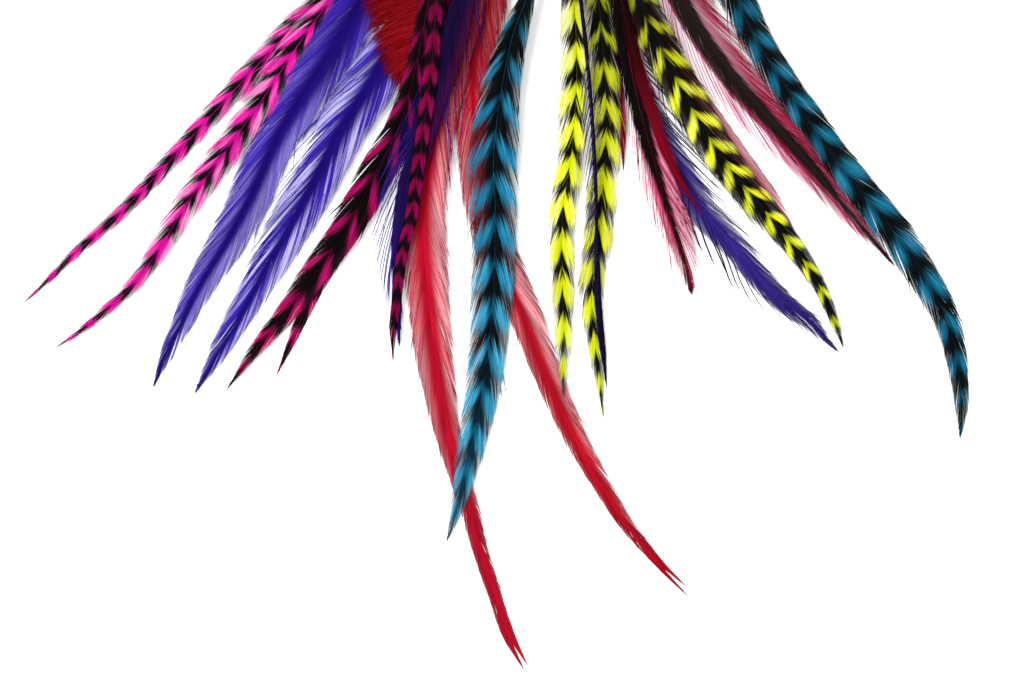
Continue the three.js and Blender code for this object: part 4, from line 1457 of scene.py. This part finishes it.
def rightmost() -> list[Hackle]:
    """Lists the feathers that sweep to the right, from left to right."""
    return [
        Hackle(
            "indigo_swept", "indigo_hackle", row=0, layer=0, dye=INDIGO,
            coat=replace(SILKY, web=0.35, share=((120, 0.7), (150, 0.45), (190, 0.7))),
            right_coat=replace(SILKY, web=0.4, share=((120, 0.6), (160, 0.8))),
            fringes=(
                Fringe(Side.LEFT, replace(COMB, pitch=3.2, sweep=2.4, cover=0.36, share=1.05), INDIGO_HAIR),
                Fringe(Side.RIGHT, replace(COMB, pitch=2.6, least_width=0.2), INDIGO_HAIR),
            ),
            route=[
                (11, -31.5, 1.2), (18.5, -54, 3), (23, -76.5, 4.5), (29.5, -99, 4.8, 6.6),
                (36, -115.5, 5.1, 7.8), (41, -125, 5.4, 8.4), (46, -133.5, 6, 8.4),
                (50.5, -140.5, 7.2, 7.8), (55.5, -146, 7.8, 6.9), (61, -152, 8.1, 5.4),
                (66.5, -159, 7.5, 4.6), (71.5, -164.5, 6.6, 4.2), (77, -169, 5.7, 3.4),
                (83, -173.5, 3.9, 2.6), (87.5, -178.5, 1.8, 1.4), (91, -182, 0),
            ],
        ),
        Hackle(
            "badger_pink_short", "badger_hackle", row=1, layer=6, dye=BADGER_BLACK,
            coat=replace(SHEER, share=0.55), right_coat=replace(SHEER, share=0.9),
            stripe=Stripe(
                half=((75, 3.4), (106, 3.0), (121, 2.3), (134, 1.5), (145, 0.9), (165, 0.4)),
                offset=((80, 1.4), (106, 0.8), (125, 0.2)),
            ),
            fringes=tuple(
                Fringe(side, replace(COMB, pitch=1.8, share=1.05), CRIMSON_HAIR, start=92) for side in Side
            ),
            route=[
                (12, -31.5, 1.2), (19.5, -54, 3.6), (24.5, -76.5, 4.8), (27.5, -91.5, 5.1),
                (30.5, -106.5, 5.1), (34.5, -121.5, 5.4, 5.1), (38.5, -135, 5.4), (42.5, -147, 5.7),
                (46, -159, 4.2, 3.6), (47, -165, 0),
            ],
        ),
        Hackle(
            "crimson_slim", "crimson_hackle", row=2, layer=8, outer=1, dye=CRIMSON,
            coat=Coat(share=((125, 0.75), (140, 0.5))),
            route=[
                (13, -31.5, 0.9), (21.5, -54, 1.8), (25.5, -76.5, 2.4), (29, -91.5, 2.4),
                (34.5, -109.5, 2.1), (40, -124.5, 1.8), (45, -133.5, 1.2), (50.5, -141.5, 0),
            ],
        ),
        Hackle(
            "yellow_grizzly_right", "yellow_hackle", row=1, layer=7, outer=1, dye=YELLOW_WARM,
            bars=Bars(
                (91, 102, 113, 123, 132, 141, 150.5, 160, 169.5, 178.5, 187.5, 197.5),
                slope=0.8, peak=2.0, share=((85, 0.75), (100, 0.65), (120, 0.6)), join=0.6, thin=0.4,
            ),
            fringes=(
                Fringe(Side.LEFT, replace(COMB, pitch=1.8, share=1.2), BLACK_HAIR, 85, 165),
                Fringe(Side.RIGHT, replace(COMB, pitch=2.4, share=0.95), ORANGE_HAIR, 85, 165),
            ),
            route=[
                (14.5, -31.5, 1.5), (23, -54, 4.2), (30.5, -76.5, 5.4), (37.5, -91.5, 5.7),
                (43.5, -103.5, 5.7), (49.5, -114, 5.7), (57, -125.5, 5.1), (65, -135.5, 4.5),
                (73, -145, 3.6), (81.5, -156, 2.7), (85, -162, 2.1), (88, -168.5, 1.6), (90.5, -175, 1.2),
                (92.5, -181, 0),
            ],
        ),
        Hackle(
            "rose_slim", "rose_hackle", row=0, layer=1, dye=ROSE,
            coat=Coat(share=((100, 0.4), (125, 1.0))),
            route=[
                (15.5, -31.5, 1.2), (25, -54, 3), (34.5, -79.5, 3.6, 4.2), (46.5, -100.5, 3.6, 4.8),
                (60, -121.5, 3, 3.6), (72, -137.5, 1.8, 2.1), (79, -148.5, 0),
            ],
        ),
        Hackle(
            "badger_pink_long", "badger_hackle", row=1, layer=3, outer=1, dye=BADGER_ROSE,
            coat=Coat(share=0.5), right_coat=replace(SHEER, share=0.9),
            stripe=Stripe(
                half=(
                    (85, 2.9), (114, 2.75), (122, 2.5), (129, 2.0), (140, 2.0), (153, 1.6), (161, 0.9),
                    (182, 0.7),
                ),
                offset=((98, 1.4), (114, 1.5), (122, 0.7), (130, 0.5), (138, 0.1), (150, -0.2), (175, -0.1)),
                ragged=0.25,
            ),
            fringes=(
                Fringe(
                    Side.LEFT, replace(COMB, pitch=1.3, edge_cover=0.5, least_width=0.2, share=1.15),
                    PINK_HAIR, end=125,
                ),
                Fringe(Side.LEFT, replace(COMB, pitch=1.8, share=1.1), CRIMSON_HAIR, start=115),
                Fringe(Side.RIGHT, replace(COMB, pitch=2.4, share=1.05), CRIMSON_HAIR),
            ),
            route=[
                (18, -31.5, 1.5), (31.5, -54, 5.4), (44.5, -76.5, 9, 8.4), (49.5, -85, 9.6, 8.4),
                (54, -91.5, 9.6, 7.8), (63, -103.5, 9, 6.6), (72, -114, 7.2, 5.4), (81, -124.5, 6, 4.2),
                (90, -135.5, 3.6, 2.7), (99, -146, 2.1, 1.8), (108, -156.5, 0),
            ],
        ),
        Hackle(
            "teal_grizzly_right", "teal_hackle", row=0, layer=2, dye=TEAL_DEEP,
            coat=replace(OPEN_EDGE, cover=2.8), right_coat=Coat(),
            bars=Bars(
                (91, 102, 112.7, 123.5, 135, 147.5, 161, 174.5, 189, 203, 215, 227, 237),
                slope=0.6, share=0.6, soft=1.3, ragged=0.09, lean=-1.0, join=0.7, join_half=2.0, rim=-0.5,
            ),
            route=[
                (27, -31.5, 1.5), (46, -54, 4.2), (60.5, -76.5, 5.1), (64.5, -85.5, 5.1),
                (72, -98, 4.9, 4.6), (80, -110, 4.9, 4.5), (88.5, -122.5, 5.1, 5), (97.5, -134, 5.4, 5.2),
                (107, -145.5, 5.2, 5.4), (116.5, -159, 5.1, 4.8), (123.5, -172.5, 3.9, 4), (127, -187.5, 3),
                (128, -201, 1.8), (127.5, -208, 0),
            ],
        ),
    ]


def hackles() -> list[Hackle]:
    """Lists all feathers from left to right, with the routes of their solids, not yet built."""
    return pink_and_purple() + magenta_to_violet() + long_reds() + teal_and_yellow() + rightmost()


@dataclass(frozen=True)
class FusionKeratin:
    """Fusion keratin: hard amber glue, a little cloudy, softly polished, with the pressing tool's ribs."""

    amber: str = "#8c4a1c"
    cloud: str = "#b87434"
    cloud_size: float = 4.0
    rib_pitch: float = 1.8
    rib_depth: float = 0.12
    rib_strength: float = 0.6
    rib_waver: float = 0.4
    roughness: float = 0.28
    ior: float = 1.5
    glow: float = 0.25

    def material(self) -> bpy.types.Material:
        """Makes the bond's material."""
        shader = Shader("fusion_keratin")
        clouds = shader.clouds(self.cloud_size, detail=3.0)
        colour = shader.mix(clouds, linear(self.amber), linear(self.cloud))
        bands = math.pi / 10 / (self.rib_pitch * MM)  # the scale that gives one band to a pitch
        ribs = shader.node("TexWave", {
            "Vector": shader.place(), "Scale": bands, "Distortion": self.rib_waver,
        }, "Fac", bands_direction="Y")
        pressed = shader.node("Bump", {
            "Height": ribs, "Strength": self.rib_strength, "Distance": self.rib_depth * MM,
        })
        return shader.close(colour, self.roughness, {"IOR": self.ior, "Normal": pressed}, self.glow)


@dataclass(frozen=True)
class Bond:
    """The keratin bond: a flat tab, narrower at its back, with a socket for every quill in its mouth."""

    size: BondSize = BOND
    corner_radius: float = 2.0
    corner_segments: int = 6
    edge_radius: float = 0.4
    edge_segments: int = 3
    smooth_angle: float = 40.0
    seam_angle: float = 66.0
    seam_margin: float = 0.01
    level_within: float = 0.01
    socket_radius: float = 0.6
    socket_sides: int = 12
    finish: FusionKeratin = FusionKeratin()

    def build(self, feathers: list[Hackle]) -> bpy.types.Object:
        """Builds and dresses the bond.

        Args:
            feathers: the settled feathers, which give the sockets their rows.

        Returns:
            The finished piece.
        """
        tab = self._tab()
        self._bore(tab, feathers)
        self._unwrap(tab)
        tab.data.materials.clear()
        tab.data.materials.append(self.finish.material())
        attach(tab, ROOT_BODY)
        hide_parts("keratin_bond")
        LOG.info("%s: %d faces", tab.name, len(tab.data.polygons))
        return tab

    def _tab(self) -> bpy.types.Object:
        """The tapered tab with its corners and edges rounded."""
        size = self.size
        deselect_all()
        bpy.ops.mesh.primitive_cube_add(size=1, location=(0, 0, size.thickness / 2 * MM))
        tab = bpy.context.object
        tab.name = "keratin_bond_tab"
        tab.scale = [side * MM for side in (size.mouth_width, size.length, size.thickness)]
        bpy.ops.object.transform_apply(location=True, rotation=False, scale=True)
        self._pick(tab, "VERT", lambda vertex: vertex.co.y > 0)
        bpy.ops.transform.resize(value=(size.back_width / size.mouth_width, 1, 1), center_override=(0, 0, 0))
        self._bevel(tab, False, self.corner_radius, self.corner_segments)
        self._bevel(tab, True, self.edge_radius, self.edge_segments)
        bpy.ops.object.shade_smooth_by_angle(angle=math.radians(self.smooth_angle))
        return tab

    @staticmethod
    def _pick(tab: bpy.types.Object, kind: str, wanted: Callable[..., bool]) -> None:
        """Selects the vertices (VERT) or edges (EDGE) that are wanted, and leaves the tab in edit mode."""
        bpy.ops.object.mode_set(mode="EDIT")
        bpy.ops.mesh.select_mode(type=kind)
        bpy.ops.mesh.select_all(action="DESELECT")
        bpy.ops.object.mode_set(mode="OBJECT")
        for element in tab.data.vertices if kind == "VERT" else tab.data.edges:
            element.select = wanted(element)
        bpy.ops.object.mode_set(mode="EDIT")

    def _bevel(self, tab: bpy.types.Object, level: bool, radius: float, segments: int) -> None:
        """Rounds the tab's level rims, or its upright edges."""
        def runs_so(edge: bpy.types.MeshEdge) -> bool:
            """Whether an edge is level, or upright, as asked."""
            one, other = (tab.data.vertices[i].co.z for i in edge.vertices)
            return (abs(one - other) < self.level_within * MM) == level

        self._pick(tab, "EDGE", runs_so)
        bpy.ops.mesh.bevel(offset=radius * MM, segments=segments, affect="EDGES")
        bpy.ops.object.mode_set(mode="OBJECT")

    def _bore(self, tab: bpy.types.Object, feathers: list[Hackle]) -> None:
        """Cuts the sockets into the mouth."""
        size = self.size
        mouth_y = -size.length / 2
        pins = []
        for feather in feathers:
            deselect_all()
            bpy.ops.mesh.primitive_cylinder_add(
                vertices=self.socket_sides, radius=self.socket_radius * MM, depth=2 * size.socket_depth * MM,
                location=(size.place_x(feather.place) * MM, mouth_y * MM, size.row_z(feather.row) * MM),
                rotation=(math.pi / 2, 0, 0),
            )
            pins.append(bpy.context.object)
        pin = join_pieces(pins)
        deselect_all()
        tab.select_set(True)
        bpy.context.view_layer.objects.active = tab
        cut = tab.modifiers.new("sockets", "BOOLEAN")
        cut.operation = "DIFFERENCE"
        cut.solver = "EXACT"
        cut.object = pin
        bpy.ops.object.modifier_apply(modifier=cut.name)
        bpy.data.objects.remove(pin, do_unlink=True)

    def _unwrap(self, tab: bpy.types.Object) -> None:
        """Lays the tab out on the bake map."""
        for old in list(tab.data.uv_layers):
            tab.data.uv_layers.remove(old)
        tab.data.uv_layers.new(name=BAKE_MAP)
        bpy.ops.object.mode_set(mode="EDIT")
        bpy.ops.mesh.select_all(action="SELECT")
        bpy.ops.uv.smart_project(angle_limit=math.radians(self.seam_angle), island_margin=self.seam_margin)
        bpy.ops.object.mode_set(mode="OBJECT")


@dataclass(frozen=True)
class Studio:
    """A pale floor, soft light from the upper left and a camera that looks straight down.

    All lengths are millimetres but sight, the farthest that the camera sees, which is in metres.
    """

    view_centre: tuple[float, float] = (-6.9, -178.95)
    view_width: float = 307.2
    camera_height: float = 853.0
    sensor: float = 36.0
    sight: float = 20.0
    floor_size: float = 6000.0
    floor_drop: float = 0.05
    floor_colour: str = "#f4f4f4"
    floor_roughness: float = 0.9
    floor_glow: float = 0.3
    box_sides: tuple[float, float] = (900.0, 700.0)
    box_place: tuple[float, float, float] = (-750.0, 350.0, 1100.0)
    box_target: tuple[float, float, float] = (0.0, -170.0, 0.0)
    box_power: float = 22.0
    air_glow: float = 0.75

    def build(self) -> None:
        """Adds the camera, the floor and the lights."""
        self._camera()
        self._floor()
        self._lights()

    def _camera(self) -> None:
        """The camera, with the photo's frame on the floor."""
        lens = bpy.data.cameras.new("camera")
        lens.sensor_width = self.sensor
        lens.lens = self.sensor * self.camera_height / self.view_width
        lens.clip_end = self.sight
        camera = bpy.data.objects.new("camera", lens)
        camera.location = (self.view_centre[0] * MM, self.view_centre[1] * MM, self.camera_height * MM)
        bpy.context.scene.collection.objects.link(camera)
        bpy.context.scene.camera = camera

    def _floor(self) -> None:
        """A sheet of white card under the feathers, lit a little from within as on a light table."""
        deselect_all()
        bpy.ops.mesh.primitive_plane_add(size=self.floor_size * MM, location=(0, 0, -self.floor_drop * MM))
        floor = bpy.context.object
        floor.name = "floor_card"
        card = Shader("white_card").close(linear(self.floor_colour), self.floor_roughness, {
            "Specular IOR Level": 0.0, "Emission Color": (1, 1, 1, 1), "Emission Strength": self.floor_glow,
        })
        floor.data.materials.append(card)

    def _lights(self) -> None:
        """A broad soft box at the upper left, and an even white surround."""
        scene = bpy.context.scene
        scene.view_settings.view_transform = "Standard"
        world = bpy.data.worlds.new("studio_air")
        world.use_nodes = True
        air = world.node_tree.nodes["Background"]
        air.inputs["Color"].default_value = (1, 1, 1, 1)
        air.inputs["Strength"].default_value = self.air_glow
        scene.world = world
        box = bpy.data.lights.new("soft_box", "AREA")
        box.shape = "RECTANGLE"
        box.size, box.size_y = (side * MM for side in self.box_sides)
        box.energy = self.box_power
        lamp = bpy.data.objects.new("soft_box", box)
        lamp.location = [place * MM for place in self.box_place]
        x, y, z = np.subtract(self.box_target, self.box_place)
        lamp.rotation_euler = (math.atan2(math.hypot(x, y), -z), 0, math.atan2(y, x) - math.pi / 2)
        scene.collection.objects.link(lamp)


def main() -> None:
    """Builds the studio, the bond and the feathers, and reports each piece."""
    logging.basicConfig(level=logging.INFO, format="%(message)s")
    Studio().build()
    feathers = hackles()
    for place, feather in enumerate(feathers):
        feather.settle(place)
    Bond().build(feathers)
    for feather in feathers:
        feather.build()


if __name__ == "__main__":
    main()
